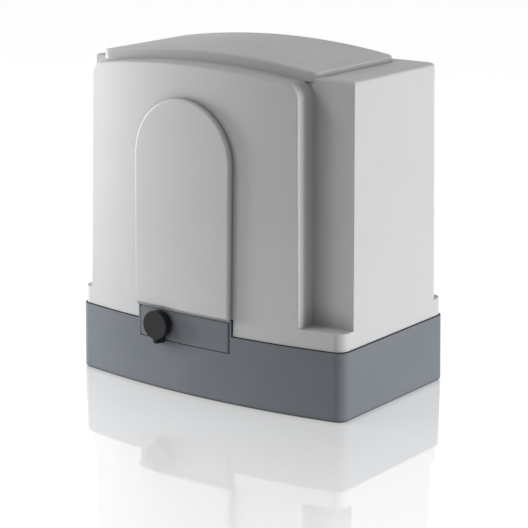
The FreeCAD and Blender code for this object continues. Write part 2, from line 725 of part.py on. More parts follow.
def lock_pieces():
    """Barrel with its head, rotating plug, cam, and the nut behind the door."""
    x, z = s("lock_x"), s("lock_z")
    face = front_y(x + s("lock_head"), door_inset()) - 0.05
    front, back = s("lock_front"), s("lock_back")
    head, body_r, plug = s("lock_head"), s("lock_body"), s("lock_plug")
    gap = s("running_gap")
    inner = plug + gap
    barrel = turned("LockBarrelTurned", [
        (inner, 0), (head - 1.2, 0), (head, 1.2), (head, face - front), (body_r, face - front),
        (body_r, back - front), (inner, back - front)], (x, front, z), "y")
    ears = [box(f"CapEar{name}", (x + shift, s("cap_hinge_y") - 1.9, s("cap_hinge_z") - 1.9),
                (x + shift + 1.6, face - 0.35, s("cap_hinge_z") + 1.9))
            for name, shift in (("Left", -4.0), ("Right", 2.4))]
    bridge = box("CapBridge", (x - 4.0, face - 1.35, s("cap_hinge_z") - 1.9),
                 (x + 4.0, face - 0.35, z - head + 1.5))
    pin_bore = cylinder("CapPinBore", s("cap_pin") + 0.02, 12.0,
                        (x - 6.0, s("cap_hinge_y"), s("cap_hinge_z")), "x")
    node(cut("LockBarrel", fuse("LockBarrelWhole", barrel, bridge, *ears), pin_bore),
         "lock_barrel")
    node(cylinder("CapPin", s("cap_pin"), 8.0, (x - 4.0, s("cap_hinge_y"), s("cap_hinge_z")),
                  "x"), "cap_hinge_pin")

    # The plug carries the keyway at the front and a square tail for the cam behind
    whole = turned("LockPlugTurned", [(0, 0), (plug, 0), (plug, back - front), (3.0, back - front),
                   (3.0, back - front + 3.4), (0, back - front + 3.4)], (x, front, z), "y")
    keyway = box("Keyway", (x - 0.6, front - 1.0, z - 3.6), (x + 0.6, front + 9.0, z + 3.6))
    node(cut("LockPlug", whole, keyway), "lock_plug")
    arm = box("CamArm", (x - 3.6, back + 0.1, z - 13.0), (x + 3.6, back + 2.6, z + 3.6))
    hole = cylinder("CamHole", 3.0 + s("seat_gap"), 6.0, (x, back - 1.0, z), "y")
    node(cut("LockCam", arm, hole), "lock_cam")
    # The nut is flat and the door curves, so the nut's outer corner sets where it seats
    nut_corner = s("lock_nut_corner")
    seat = front_y(x - nut_corner, door_inset() + s("door_thickness")) + 0.1
    nut = prism("LockNutWhole", 6, nut_corner, 3.5, (x, seat, z), "y")
    bore = cylinder("LockNutBore", body_r + s("seat_gap"), 6.0, (x, seat - 1.0, z), "y")
    node(cut("LockNut", nut, bore), "lock_nut")


def lock_cap():
    """The flip cap: a disc with a short tab below, and a skirt over the lock's head."""
    x, z = s("lock_x"), s("lock_z")
    body = new_body("LockCap")
    front, disc = s("cap_front"), s("cap_disc")
    radius, tab = s("cap_radius"), s("cap_tab")
    # The tab leaves the disc where the disc is as wide as the tab, and ends round
    root = z - (radius * radius - tab * tab).root()
    tip = s("cap_hinge_z") + 0.6
    sketch = sketch_on(body, "DiscAndTab", "XZ", front + disc)
    outline(sketch, [
        (x + tab, root, radius), (x, z + radius, radius), (x - tab, root),
        (x - tab, tip, tab), (x, tip - tab, tab), (x + tab, tip)])
    pad(body, sketch, disc)
    dress(body, "Fillet", lambda edge: edge.Length < disc.value + 0.1
          and abs(middle(edge).z - root.value) < 0.1, s("cap_tab_fillet"))
    dress(body, "Fillet", lambda edge: edge.BoundBox.YMax < front.value + 0.1, 0.9)
    sketch = sketch_on(body, "Skirt", "XZ", front + disc)
    circle(sketch, x, z, s("cap_skirt"))
    pad(body, sketch, s("cap_seat") - front - disc, back=True)
    sketch = sketch_on(body, "SkirtBore", "XZ", front + disc)
    circle(sketch, x, z, s("cap_inner"))
    pocket(body, sketch, s("cap_seat") - front)
    sketch = sketch_on(body, "Knuckle", "YZ", x - 2.0)
    y, low = s("cap_hinge_y"), s("cap_hinge_z")
    knuckle = s("cap_knuckle")
    outline(sketch, [(front + disc - 0.4, low - knuckle), (y, low - knuckle, knuckle),
                     (y + knuckle, low, knuckle), (y, low + knuckle),
                     (front + disc - 0.4, low + knuckle)])
    pad(body, sketch, 4.0)
    sketch = circle(sketch_on(body, "KnuckleBore", "YZ", x + 3.0), y, low,
                    s("cap_pin") + s("running_gap"))
    pocket(body, sketch, 6.0)
    return node(body, "lock_cap")


def release_pieces():
    """Yoke that the door's cam pushes, and the rod that frees the worm wheel."""
    x, z = s("shaft_x"), s("shaft_z")
    nose_front = s("hinge_y") + 6.6
    back = s("frame_back")
    body = new_body("ReleaseYoke")
    sketch = sketch_on(body, "YokeFace", "XZ", back + 4.0)
    low, high = s("cam_low") - 2.0, s("cam_high") + 2.0
    outline(sketch, [
        (x - 9.0, low), (s("hinge_x") + 2.0, low), (s("hinge_x") + 2.0, high),
        (x + 9.0, high), (x + 9.0, z, 9.0), (x, z + 9.0, 9.0), (x - 9.0, z)])
    pad(body, sketch, 3.0)
    sketch = sketch_on(body, "YokeNose", "XZ", back + 1.5)
    rectangle(sketch, s("hinge_x") - 5.5, s("cam_low") + 1.0, s("hinge_x") + 1.5,
              s("cam_high") - 1.0)
    pad(body, sketch, back + 1.5 - nose_front)
    sketch = circle(sketch_on(body, "YokeBore", "XZ", back), x, z, 3.0 + s("seat_gap"))
    pocket(body, sketch, 6.0)
    node(body, "release_yoke")
    rod = s("rod_radius")
    length = s("wheel_y") + 15.0 - back - 1.0
    node(turned("ReleaseRod", [(0, 0), (3.0, 0), (3.0, 3.2), (rod, 3.2), (rod, length - 1.0),
                               (rod - 1.0, length), (0, length)], (x, back + 0.9, z), "y"),
         "release_rod")


# ---- Gearcase --------------------------------------------------------------------------------

LUG_ANGLES = [math.radians(30 + 60 * step) for step in range(6)]


def lug_places():
    """Centres, in X and Z, of the six lugs round the gear chamber's rim."""
    return [(s("shaft_x") + s("lug_ring") * math.cos(angle),
             s("shaft_z") + s("lug_ring") * math.sin(angle)) for angle in LUG_ANGLES]


def motor_axis():
    return s("shaft_x") + s("gear_distance"), s("wheel_y")


def flange_places():
    x, y = motor_axis()
    return [(x + s("flange_bolts") * i, y + s("flange_bolts") * j)
            for i in (-1, 1) for j in (-1, 1)]


def gear_housing():
    """The casting that holds wheel, worm and motor and closes the back with its arched mask."""
    x, z = s("shaft_x"), s("shaft_z")
    worm_x, worm_y = motor_axis()
    front, back, mask = s("chamber_front"), s("chamber_back"), s("mask_back")
    bed, bed_top = s("case_foot"), s("case_foot") + s("bed_thickness")
    outer = s("chamber_radius") + s("chamber_wall")
    low, high, half = s("flange_low"), s("flange_top"), s("flange_side") / 2
    mask_front = mask - s("mask_thickness")
    solids = [
        cylinder("Chamber", outer, back + s("chamber_wall") - front, (x, front, z), "y"),
        cylinder("ShaftBoss", s("boss_radius"), mask - back, (x, back, z), "y"),
        box("MaskLeaf", (x - s("mask_half"), mask_front, s("mask_bottom")),
            (x + s("mask_half"), mask, s("mask_arch"))),
        cylinder("MaskArch", s("mask_half"), s("mask_thickness"),
                 (x, mask_front, s("mask_arch")), "y"),
        cylinder("WormColumn", s("column_radius"), low + 2.0 - s("column_low"),
                 (worm_x, worm_y, s("column_low"))),
        cylinder("WormCollar", s("collar_radius"), 12.0, (worm_x, worm_y, low - 10.0)),
        box("MotorFlange", (worm_x - half, worm_y - half, low),
            (worm_x + half, worm_y + half, high)),
        box("FlangeWeb", (x + 4.0, worm_y - 7.0, low - 14.0), (worm_x, worm_y + 7.0, low + 2.0)),
        box("Bed", (-73.0, -46.0, bed), (75.0, 62.0, bed_top)),
        box("CrossWeb", (x - 34.0, worm_y - 7.0, bed_top - 1.0), (x + 34.0, worm_y + 7.0, 60.0)),
        box("LongWeb", (x - 4.0, front + 3.0, bed_top - 1.0), (x + 4.0, 82.0, 62.0)),
        box("WormWeb", (worm_x - 12.0, worm_y - 7.0, bed_top - 1.0),
            (worm_x + 12.0, worm_y + 7.0, 40.0)),
        box("SwitchShelf", (x - 20.0, 55.0, z + 26.0), (x + 20.0, mask_front + 1.0,
                                                        s("switch_low") - 1.0)),
    ]
    solids += [cylinder(f"Lug{number_of}", s("lug_radius"), 12.0, (lug_x, front, lug_z), "y")
               for number_of, (lug_x, lug_z) in enumerate(lug_places())]
    seat = s("seat_gap")
    hollows = [
        cylinder("ChamberBore", s("chamber_radius"), back - front + 1.0, (x, front - 1.0, z), "y"),
        cylinder("ShaftBore", s("shaft_radius") + 2.0, s("rear_seat") - back + 2.0,
                 (x, back - 1.0, z), "y"),
        cylinder("RearSeat", s("shaft_bearing") + seat, mask - s("rear_seat") + 1.0,
                 (x, s("rear_seat"), z), "y"),
        cylinder("WormBore", s("worm_bore"), high - s("worm_seat"),
                 (worm_x, worm_y, s("worm_seat") + s("small_width"))),
        cylinder("LowerSeat", s("small_bearing") + seat, s("small_width") + 1.0,
                 (worm_x, worm_y, s("worm_seat"))),
        cylinder("UpperSeat", s("nose_bearing") + seat, s("nose_width") + 1.0,
                 (worm_x, worm_y, high - s("nose_width"))),
        cylinder("LeverBore", s("lever_shaft") + 0.4, 12.0, (x, mask_front - 1.0,
                                                            s("switch_z")), "y"),
    ]
    hollows += [cylinder(f"LugBore{number_of}", s("case_screw") + seat, 11.0,
                         (lug_x, front - 1.0, lug_z), "y")
                for number_of, (lug_x, lug_z) in enumerate(lug_places())]
    hollows += [cylinder(f"FlangeBore{number_of}", s("foot_bolt") + seat, 12.0,
                         (bolt_x, bolt_y, low - 1.0))
                for number_of, (bolt_x, bolt_y) in enumerate(flange_places())]
    hollows += [cylinder(f"BedBore{number_of}", s("foot_bolt") + seat, 9.0,
                         (foot_x, foot_y, bed - 1.0))
                for number_of, (foot_x, foot_y) in enumerate(foot_places())]
    return node(cut("GearHousing", fuse("GearCasting", *solids), *hollows), "gear_housing")


def gearcase_cover():
    x, z, front = s("shaft_x"), s("shaft_z"), s("chamber_front")
    outer, plate = s("chamber_radius") + s("chamber_wall"), s("plate_thickness")
    boss, seat = 14.5, s("nose_bearing") + s("seat_gap")
    rod = s("rod_radius") + 0.6
    disc = turned("CasePlate", [
        (rod, 0), (28.0, 0), (30.0, 2.0), (30.0, boss - plate), (outer, boss - plate),
        (outer, boss), (seat, boss), (seat, 4.0), (16.0, 4.0), (16.0, 2.5), (rod, 2.5)],
        (x, front - boss, z), "y")
    lugs = [cylinder(f"PlateLug{number_of}", s("lug_radius"), plate,
                     (lug_x, front - plate, lug_z), "y")
            for number_of, (lug_x, lug_z) in enumerate(lug_places())]
    bores = [cylinder(f"PlateBore{number_of}", s("case_screw") + s("seat_gap"), plate + 2.0,
                      (lug_x, front - plate - 1.0, lug_z), "y")
             for number_of, (lug_x, lug_z) in enumerate(lug_places())]
    return node(cut("CaseCover", fuse("CaseCoverWhole", disc, *lugs), *bores), "gearcase_cover")


def hex_screw(name, radius, length, at, axis, head_first=True):
    """A hexagon-head screw; the head stands at the start of its axis, or at its end."""
    tall, (x, y, z) = radius * 1.4, at
    start, end = (0, tall) if head_first else (length, 0)
    spots = [(x, y + reach, z) if axis == "y" else (x, y, z + reach) for reach in (start, end)]
    return fuse(name, prism(name + "Head", 6, radius * 2, tall, spots[0], axis),
                cylinder(name + "Shank", radius, length, spots[1], axis))


def case_screws():
    plate_front = s("chamber_front") - s("plate_thickness")
    radius = s("case_screw")
    node(group("GearcaseScrews", *[
        hex_screw(f"CaseScrew{number_of}", radius, s("plate_thickness") + 9.0,
                  (lug_x, plate_front - radius * 1.4, lug_z), "y")
        for number_of, (lug_x, lug_z) in enumerate(lug_places())]), "gearcase_screws")
    radius = s("foot_bolt")
    top = s("case_foot") + s("bed_thickness")
    node(group("HousingBolts", *[
        hex_screw(f"HousingBolt{number_of}", radius, s("bed_thickness") + 6.5,
                  (foot_x, foot_y, top - s("bed_thickness") - 6.5), "z", False)
        for number_of, (foot_x, foot_y) in enumerate(foot_places())]), "housing_bolts")
    top = s("flange_top") + s("frame_flange")
    length = s("frame_flange") + s("flange_top") - s("flange_low")
    node(group("MotorBolts", *[
        hex_screw(f"MotorBolt{number_of}", radius, length, (bolt_x, bolt_y, top - length),
                  "z", False)
        for number_of, (bolt_x, bolt_y) in enumerate(flange_places())]), "motor_bolts")


# ---- Bearings --------------------------------------------------------------------------------

def bearings():
    x, z = s("shaft_x"), s("shaft_z")
    worm_x, worm_y = motor_axis()
    gap, front = s("running_gap"), s("chamber_front") - 10.5
    node(ring("FrontBearing", s("nose_bearing"), s("shaft_nose") + gap, s("nose_width"),
              (x, front, z)), "front_bearing")
    node(ring("RearBearing", s("shaft_bearing"), s("shaft_radius") + gap, s("shaft_width"),
              (x, s("rear_seat"), z)), "rear_bearing")
    node(turned("ShaftSeal", [
        (s("shaft_radius") + gap, 2.0), (s("shaft_radius") + 2.0, 0), (s("shaft_bearing"), 0),
        (s("shaft_bearing"), s("seal_width")), (s("shaft_radius") + 3.0, s("seal_width")),
        (s("shaft_radius") + gap, s("seal_width") - 2.0)], (x, s("seal_front"), z), "y"),
        "shaft_seal")
    node(ring("LowerWormBearing", s("small_bearing"), s("worm_journal") + gap, s("small_width"),
              (worm_x, worm_y, s("worm_seat")), "z"), "lower_worm_bearing")
    node(ring("UpperWormBearing", s("nose_bearing"), s("rotor_journal") + gap, s("nose_width"),
              (worm_x, worm_y, s("flange_top") - s("nose_width")), "z"), "upper_worm_bearing")
    node(ring("MotorBearing", s("small_bearing"), s("worm_journal") + gap, s("small_width"),
              (worm_x, worm_y, s("motor_top")), "z"), "motor_bearing")


# ---- Output shaft, worm wheel and drive pinion -----------------------------------------------

def output_shaft():
    x, z, start, end = s("shaft_x"), s("shaft_z"), s("shaft_front"), s("shaft_end")
    radius, nose, bore = s("shaft_radius"), s("shaft_nose"), s("rod_radius") + 0.08
    neck, deep = s("chamber_front") + 3.7 - start, s("wheel_y") + 23.0 - start
    length = end - start
    whole = turned("ShaftTurned", [
        (bore, 0), (nose - 1.0, 0), (nose, 1.0), (nose, neck), (radius, neck),
        (radius, length - 1.0), (radius - 1.0, length), (4.05, length), (4.05, length - 23.0),
        (0, length - 23.0), (0, deep), (bore, deep)], (x, start, z), "y")
    wide = s("key_width") / 2
    seat = radius - s("key_height") + 3.0
    slots = [box(f"Keyway{name}", (x - wide, low, z + seat), (x + wide, high, z + radius + 1.0))
             for name, low, high in (
                 ("Rear", s("pinion_front"), s("pinion_front") + s("key_length")),
                 ("Wheel", s("wheel_y") - s("key_length") / 2,
                  s("wheel_y") + s("key_length") / 2))]
    node(cut("OutputShaft", whole, *slots), "output_shaft")
    top = z + seat + s("key_height")
    for name, label, low in (("PinionKey", "pinion_key", s("pinion_front")),
                             ("WheelKey", "wheel_key", s("wheel_y") - s("key_length") / 2)):
        node(box(name, (x - wide + 0.02, low + 0.02, z + seat + 0.02),
                 (x + wide - 0.02, low + s("key_length") - 0.02, top)), label)


def polar(radius, angle):
    return radius * math.cos(angle), radius * math.sin(angle)


def toothed(body, sketch, length, teeth, loft_from=None):
    """Pads one tooth or fin, or lofts it, and repeats it round the body's Z axis."""
    if loft_from is None:
        tooth = pad(body, sketch, length)
    else:
        tooth = body.newObject("PartDesign::AdditiveLoft", "Tooth")
        tooth.Profile = loft_from
        tooth.Sections = [sketch]
        tooth.Ruled = True
        doc.recompute()
    pattern = body.newObject("PartDesign::PolarPattern", "Teeth")
    pattern.Originals = [tooth]
    axis = [item for item in body.Origin.OriginFeatures if item.Role == "Z_Axis"][0]
    pattern.Axis = (axis, [""])
    pattern.Angle = 360
    pattern.Occurrences = int(teeth)
    body.Tip = pattern
    doc.recompute()
    return pattern


def worm_wheel():
    """Wheel with teeth inclined by the worm's lead angle."""
    module, teeth, face = s("gear_module"), SIZES["wheel_teeth"], s("wheel_face")
    pitch = module * teeth / 2
    tip, root = pitch + module, pitch - module * 1.25
    hub = s("shaft_radius") + 9.5
    body = new_body("WormWheel")
    pad(body, circle(sketch_on(body, "Rim", "XY", 0), 0, 0, root), face)
    pad(body, circle(sketch_on(body, "Hub", "XY", -4.0), 0, 0, hub), face + 8.0)
    sketch = sketch_on(body, "WebFront", "XY", face)
    circle(sketch, 0, 0, root - 6.0)
    circle(sketch, 0, 0, hub)
    pocket(body, sketch, 7.0)
    sketch = sketch_on(body, "WebBack", "XY", 0)
    circle(sketch, 0, 0, root - 6.0)
    circle(sketch, 0, 0, hub)
    pocket(body, sketch, 7.0, back=True)
    pressure = math.radians(20)
    lead = math.atan(SIZES["gear_module"] / 2 / SIZES["worm_pitch"])
    half = math.pi / 2 / teeth - SIZES["flank_gap"] / pitch.value
    swing = SIZES["wheel_face"] / 2 * math.tan(lead) / pitch.value
    sections = []
    space = math.pi / teeth
    for name, level, turn in (("Near", 0.0, space - swing), ("Far", face, space + swing)):
        corners = []
        for radius, side in ((root - 1.0, -1), (tip, -1), (tip, 1), (root - 1.0, 1)):
            lean = (radius.value - pitch.value) * math.tan(pressure) / pitch.value
            corners.append(polar(radius, turn + side * (half - lean)))
        sections.append(outline(sketch_on(body, "Tooth" + name, "XY", level), corners))
    toothed(body, sections[1], face, teeth, sections[0])
    sketch = circle(sketch_on(body, "Bore", "XY", face + 5.0), 0, 0,
                    s("shaft_radius") + s("seat_gap"))
    pocket(body, sketch, face + 10.0)
    sketch = sketch_on(body, "Keyway", "XY", face + 5.0)
    wide, top = s("key_width") / 2, s("shaft_radius") + 3.1
    rectangle(sketch, -wide, -top, wide, -8.0)
    pocket(body, sketch, face + 10.0)
    place(body, (s("shaft_x"), s("wheel_y") - face / 2, s("shaft_z")), "y")
    return node(body, "worm_wheel")


def drive_pinion():
    """Spur pinion for the rack: arc flanks that follow the involute of a 20 degree tooth."""
    module, teeth = s("pinion_module"), SIZES["pinion_teeth"]
    pitch = module * teeth / 2
    tip, root = pitch + module, pitch - module * 1.25
    pressure = math.radians(20)
    base = pitch * math.cos(pressure)
    flank = pitch * math.sin(pressure)
    start = math.pi / 2 / teeth + math.tan(pressure) - pressure
    end_angle = math.acos(base.value / tip.value)
    end = start - (math.tan(end_angle) - end_angle)
    body = new_body("DrivePinion")
    hub, face = s("pinion_front") - s("hub_front"), s("pinion_face")
    pad(body, circle(sketch_on(body, "Hub", "XY", 0), 0, 0, s("pinion_hub")), hub + 1.0)
    pad(body, circle(sketch_on(body, "Rim", "XY", hub), 0, 0, root), face)
    sketch = sketch_on(body, "Tooth", "XY", hub)
    outline(sketch, [
        polar(root - 1.5, -start), (*polar(base, -start), flank), polar(tip, -end),
        (*polar(tip, end), flank), polar(base, start), polar(root - 1.5, start)])
    toothed(body, sketch, face, teeth)
    sketch = circle(sketch_on(body, "Bore", "XY", hub + face + 1.0), 0, 0,
                    s("shaft_radius") + s("seat_gap"))
    pocket(body, sketch, hub + face + 2.0)
    sketch = sketch_on(body, "Keyway", "XY", hub + face + 1.0)
    wide, top = s("key_width") / 2, s("shaft_radius") + 3.1
    rectangle(sketch, -wide, -top, wide, -8.0)
    pocket(body, sketch, hub + face + 2.0)
    place(body, (s("shaft_x"), s("hub_front"), s("shaft_z")), "y")
    node(body, "drive_pinion")

    x, z, end = s("shaft_x"), s("shaft_z"), s("shaft_end") + 0.02
    node(ring("PinionWasher", 16.0, 4.2, 3.0, (x, end, z)), "pinion_washer")
    head = prism("BoltHead", 6, 7.5, 5.3, (x, end + 3.02, z), "y")
    shank = cylinder("BoltShank", 4.0, 24.0, (x, end - 20.0, z), "y")
    node(fuse("PinionBolt", head, shank), "pinion_bolt")


# ---- Worm rotor and motor --------------------------------------------------------------------

def rotor():
    x, y = motor_axis()
    low, top = s("worm_seat") + 0.5, s("motor_top") + s("small_width") - 1.0
    thin, thick = s("worm_journal"), s("rotor_journal")
    module, pitch = s("gear_module"), s("worm_pitch")
    root, tip = pitch - module * 1.25, pitch + module
    centre = s("shaft_z") - low
    body = new_body("RotorShaft")
    seat = s("worm_seat") + s("small_width") + 2.0 - low
    collar = s("flange_top") - s("nose_width") - low - 1.0
    sketch = outline(sketch_on(body, "ShaftProfile", "XZ"), [
        (0, 0), (thin, 0), (thin, seat), (root, seat), (root, collar), (thick, collar),
        (thick, s("motor_top") - 1.0 - low), (thin, s("motor_top") - 1.0 - low),
        (thin, top - low), (0, top - low)])
    feature = body.newObject("PartDesign::Revolution", "Shaft")
    feature.Profile = sketch
    feature.ReferenceAxis = (sketch, ["V_Axis"])
    feature.Angle = 360
    doc.recompute()

    # One start, cut as a trapezium that is swept along the helix
    step = module * math.pi
    slope = math.tan(math.radians(20))
    half = step / 4 - s("flank_gap") / 2
    foot = half + (pitch - root + 0.6) * slope
    crest = half - module * slope
    start = centre - step * s("worm_turns") / 2
    sketch = outline(sketch_on(body, "ThreadProfile", "XZ"), [
        (root - 0.6, start - foot), (tip, start - crest), (tip, start + crest),
        (root - 0.6, start + foot)])
    thread = body.newObject("PartDesign::AdditiveHelix", "Thread")
    thread.Profile = sketch
    thread.ReferenceAxis = (sketch, ["V_Axis"])
    thread.Mode = "pitch-height-angle"
    bind(thread, "Pitch", step)
    bind(thread, "Height", step * s("worm_turns"))
    doc.recompute()
    place(body, (x, y, low))
    node(body, "rotor_shaft")
    stack = s("stack_high") - s("stack_low")
    node(ring("RotorCore", s("rotor_radius"), thick + s("seat_gap"), stack,
              (x, y, s("stack_low")), "z"), "rotor_core")


def motor():
    x, y = motor_axis()
    base, top = s("flange_top"), s("motor_top")
    outer, flange = s("motor_radius"), s("frame_flange")
    inner, half = outer - s("frame_wall"), s("flange_side") / 2
    body = new_body("MotorFrame")
    pad(body, rectangle(sketch_on(body, "Flange", "XY"), -half, -half, half, half), flange)
    dress(body, "Fillet", lambda edge: edge.BoundBox.ZLength > 4.0, 7.0)
    pad(body, circle(sketch_on(body, "Barrel", "XY", flange - 1.0), 0, 0, outer),
        top - base - flange + 1.0)
    sketch = sketch_on(body, "Fin", "XY", flange - 1.0)
    rib = s("fin_width") / 2
    rectangle(sketch, outer - 1.0, -rib, outer + s("fin_height"), rib)
    toothed(body, sketch, top - base - flange - 3.0, 30)
    pocket(body, circle(sketch_on(body, "Bore", "XY", top - base), 0, 0, inner), top - base)
    sketch = sketch_on(body, "FlangeHoles", "XY", flange + 1.0)
    for i in (-1, 1):
        for j in (-1, 1):
            circle(sketch, s("flange_bolts") * i, s("flange_bolts") * j,
                   s("foot_bolt") + s("seat_gap"))
    pocket(body, sketch, flange + 1.0)
    place(body, (x, y, base))
    node(body, "motor_frame")

    stack = s("stack_high") - s("stack_low")
    node(ring("StatorCore", inner - s("seat_gap"), s("rotor_radius") + s("air_gap"), stack,
              (x, y, s("stack_low")), "z"), "stator_core")
    low_ring, high_ring = [
        turned("Winding" + name, [
            (s("winding_inner"), 0), (s("winding_outer") - 3.0, 0),
            (s("winding_outer"), s("winding_length") / 2),
            (s("winding_outer") - 3.0, s("winding_length")),
            (s("winding_inner"), s("winding_length"))], (x, y, level))
        for name, level in (("Low", s("stack_low") - s("winding_length")),
                            ("High", s("stack_high")))]
    node(group("StatorWindings", low_ring, high_ring), "stator_windings")
    cap, seat = s("cap_height"), s("small_bearing") + s("seat_gap")
    deep = s("small_width")
    node(turned("MotorEndCap", [
        (0, deep), (seat, deep), (seat, 0), (22.0, 0), (22.0, deep), (32.0, deep),
        (inner - 2.0, 5.0), (inner - 2.0, 0), (outer, 0), (outer, 7.0), (outer - 5.0, 12.0),
        (34.0, cap), (0, cap)], (x, y, top)), "motor_end_cap")


# ---- Electrical pieces -----------------------------------------------------------------------

def transformer():
    x, y, low = s("core_x"), s("core_y"), s("core_low")
    half, deep, limb = s("core_width") / 2, s("core_depth") / 2, s("core_limb")
    top = low + s("core_height")
    yoke = box("CoreBlock", (x - half, y - deep, low), (x + half, y + deep, top))
    windows = [box("Window" + name, (x + left, y - deep - 1.0, low + limb),
                   (x + right, y + deep + 1.0, top - limb))
               for name, left, right in (("Left", -half + limb, -limb),
                                         ("Right", limb, half - limb))]
    feet = [box("CoreFoot" + name, (x - half + 4.0, y + near, s("base_floor")),
                (x + half - 4.0, y + far, low + 6.0))
            for name, near, far in (("Front", -deep - 2.0, -deep), ("Back", deep, deep + 2.0))]
    straps = [box("FootStrap" + name, (x - half + 4.0, y + near, s("base_floor")),
                  (x + half - 4.0, y + far, s("base_floor") + 2.0))
              for name, near, far in (("Front", -deep - 12.0, -deep - 1.0),
                                      ("Back", deep + 1.0, deep + 12.0))]
    node(cut("TransformerCore", fuse("CoreWhole", yoke, *feet, *straps), *windows),
         "transformer_core")
    body = new_body("TransformerCoil")
    reach = half - limb - 0.6
    sketch = rectangle(sketch_on(body, "Bobbin", "XY", 0), -reach, -deep - 9.0, reach, deep + 9.0)
    pad(body, sketch, s("core_height") - limb * 2 - 1.0)
    dress(body, "Fillet", lambda edge: edge.BoundBox.ZLength > 10.0, 7.0)
    inner = limb + 0.3
    sketch = rectangle(sketch_on(body, "Limb", "XY", s("core_height")), -inner, -deep - 0.3,
                       inner, deep + 0.3)
    pocket(body, sketch, s("core_height") + 1.0)
    place(body, (x, y, low + limb + 0.5))
    node(body, "transformer_coil")


def capacitor():
    x, y, low = s("can_x"), s("can_y"), s("can_low")
    radius, tall = s("can_radius"), s("can_height")
    can = turned("CanTurned", [
        (0, 0), (radius - 1.5, 0), (radius, 1.5), (radius, tall), (radius - 1.2, tall + 1.2),
        (radius - 2.4, tall), (0, tall)], (x, y, low))
    tags = [box(f"Tag{name}", (x + shift - 0.4, y - 3.2, low + tall - 1.0),
                (x + shift + 0.4, y + 3.2, low + tall + 9.0))
            for name, shift in (("Left", -6.0), ("Right", 6.0))]
    node(fuse("RunCapacitor", can, *tags), "run_capacitor")
    inner = radius + s("seat_gap")
    band = ring("ClipBand", inner + 1.6, inner, 16.0, (x, y, low + 24.0), "z")
    stem = box("ClipStem", (x - 6.0, y + inner + 0.8, s("base_floor")),
               (x + 6.0, y + inner + 2.6, low + 40.0))
    foot = box("ClipFoot", (x - 6.0, y + inner + 0.8, s("base_floor")),
               (x + 6.0, y + inner + 14.0, s("base_floor") + 1.8))
    rest = ring("ClipRest", radius - 1.0, radius - 5.0, low - s("base_floor"),
                (x, y, s("base_floor")), "z")
    node(fuse("CapacitorClip", band, stem, foot), "capacitor_clip")
    node(rest, "capacitor_rest")


def board():
    left, right, low, high = (s("tray_" + side) for side in ("left", "right", "low", "high"))
    front, deep = s("tray_front"), s("tray_depth")
    gap, thick, inset = s("board_gap"), s("board_thickness"), s("board_inset")
    face = front - gap - thick
    corners = [(x, z) for x in (left + 8.0, right - 8.0) for z in (low + 8.0, high - 8.0)]
    plate = box("TrayPlate", (left, front, low), (right, front + deep, high))
    lips = [box("TrayLip" + name, (near, front, low), (far, front + deep + 6.0, high))
            for name, near, far in (("Left", left, left + 2.5), ("Right", right - 2.5, right))]
    legs = [box("TrayLeg" + name, (near, front, s("base_floor")), (near + 6.0, front + 8.0,
                                                                   low + 4.0))
            for name, near in (("Left", left), ("Right", right - 6.0))]
    feet = [box("TrayFoot" + name, (near, front, s("base_floor")), (near + 6.0, front + 22.0,
                                                                   s("base_floor") + 4.0))
            for name, near in (("Left", left), ("Right", right - 6.0))]
    pillars = [cylinder(f"Pillar{number_of}", 3.5, gap, (x, front - gap, z), "y")
               for number_of, (x, z) in enumerate(corners)]
    bores = [cylinder(f"PillarBore{number_of}", 1.5, gap + 4.0, (x, front - gap - 1.0, z), "y")
             for number_of, (x, z) in enumerate(corners)]
    node(cut("BoardCarrier", fuse("CarrierWhole", plate, *lips, *legs, *feet, *pillars), *bores),
         "board_carrier")
    sheet = box("BoardSheet", (left + inset, face, low + inset),
                (right - inset, front - gap, high - inset))
    holes = [cylinder(f"BoardHole{number_of}", 1.5, thick + 2.0, (x, face - 1.0, z), "y")
             for number_of, (x, z) in enumerate(corners)]
    node(cut("ControlBoard", sheet, *holes), "control_board")
    node(group("BoardScrews", *[
        fuse(f"BoardScrew{number_of}",
             cylinder(f"BoardScrewHead{number_of}", 2.6, 1.7, (x, face - 1.75, z), "y"),
             cylinder(f"BoardScrewShank{number_of}", 1.45, 5.4, (x, face - 0.05, z), "y"))
        for number_of, (x, z) in enumerate(corners)]), "board_screws")

    # Screw terminals along the bottom edge, relays above them, the fuse at the side
    blocks = []
    for number_of in range(4):
        start = left + 9.0 + 22.6 * number_of
        block = box(f"Terminal{number_of}", (start, face - 11.0, low + inset + 13.0),
                    (start + 20.0, face, low + inset + 25.0))
        mouths = [box(f"Mouth{number_of}{way}", (start + 1.4 + 4.7 * way, face - 12.0,
                                                low + inset + 12.0),
                      (start + 4.5 + 4.7 * way, face - 4.0, low + inset + 19.0))
                  for way in range(4)]
        blocks.append(cut(f"TerminalBlock{number_of}", block, *mouths))
    node(group("TerminalBlocks", *blocks), "terminal_blocks")
    node(group("BoardRelays", *[
        box(f"Relay{number_of}", (left + 12.0 + 21.0 * number_of, face - 15.0, low + 48.0),
            (left + 30.0 + 21.0 * number_of, face, low + 76.0))
        for number_of in range(3)]), "board_relays")
    x, z = right - 17.0, low + 50.0
    socket = box("FuseBase", (x - 5.0, face - 4.0, z), (x + 5.0, face, z + 30.0))
    tube = cylinder("FuseTube", 2.6, 20.0, (x, face - 7.0, z + 5.0))
    caps = [cylinder("FuseCap" + name, 3.2, 6.0, (x, face - 7.0, z + level))
            for name, level in (("Low", 2.5), ("High", 21.5))]
    clips = [box("FuseClip" + name, (x - 1.5, face - 5.0, z + level), (x + 1.5, face - 3.0,
                                                                      z + level + 5.0))
             for name, level in (("Low", 3.0), ("High", 22.0))]
    node(fuse("FuseHolder", socket, tube, *caps, *clips), "fuse_holder")


# ---- Limit switch and cable gland ------------------------------------------------------------

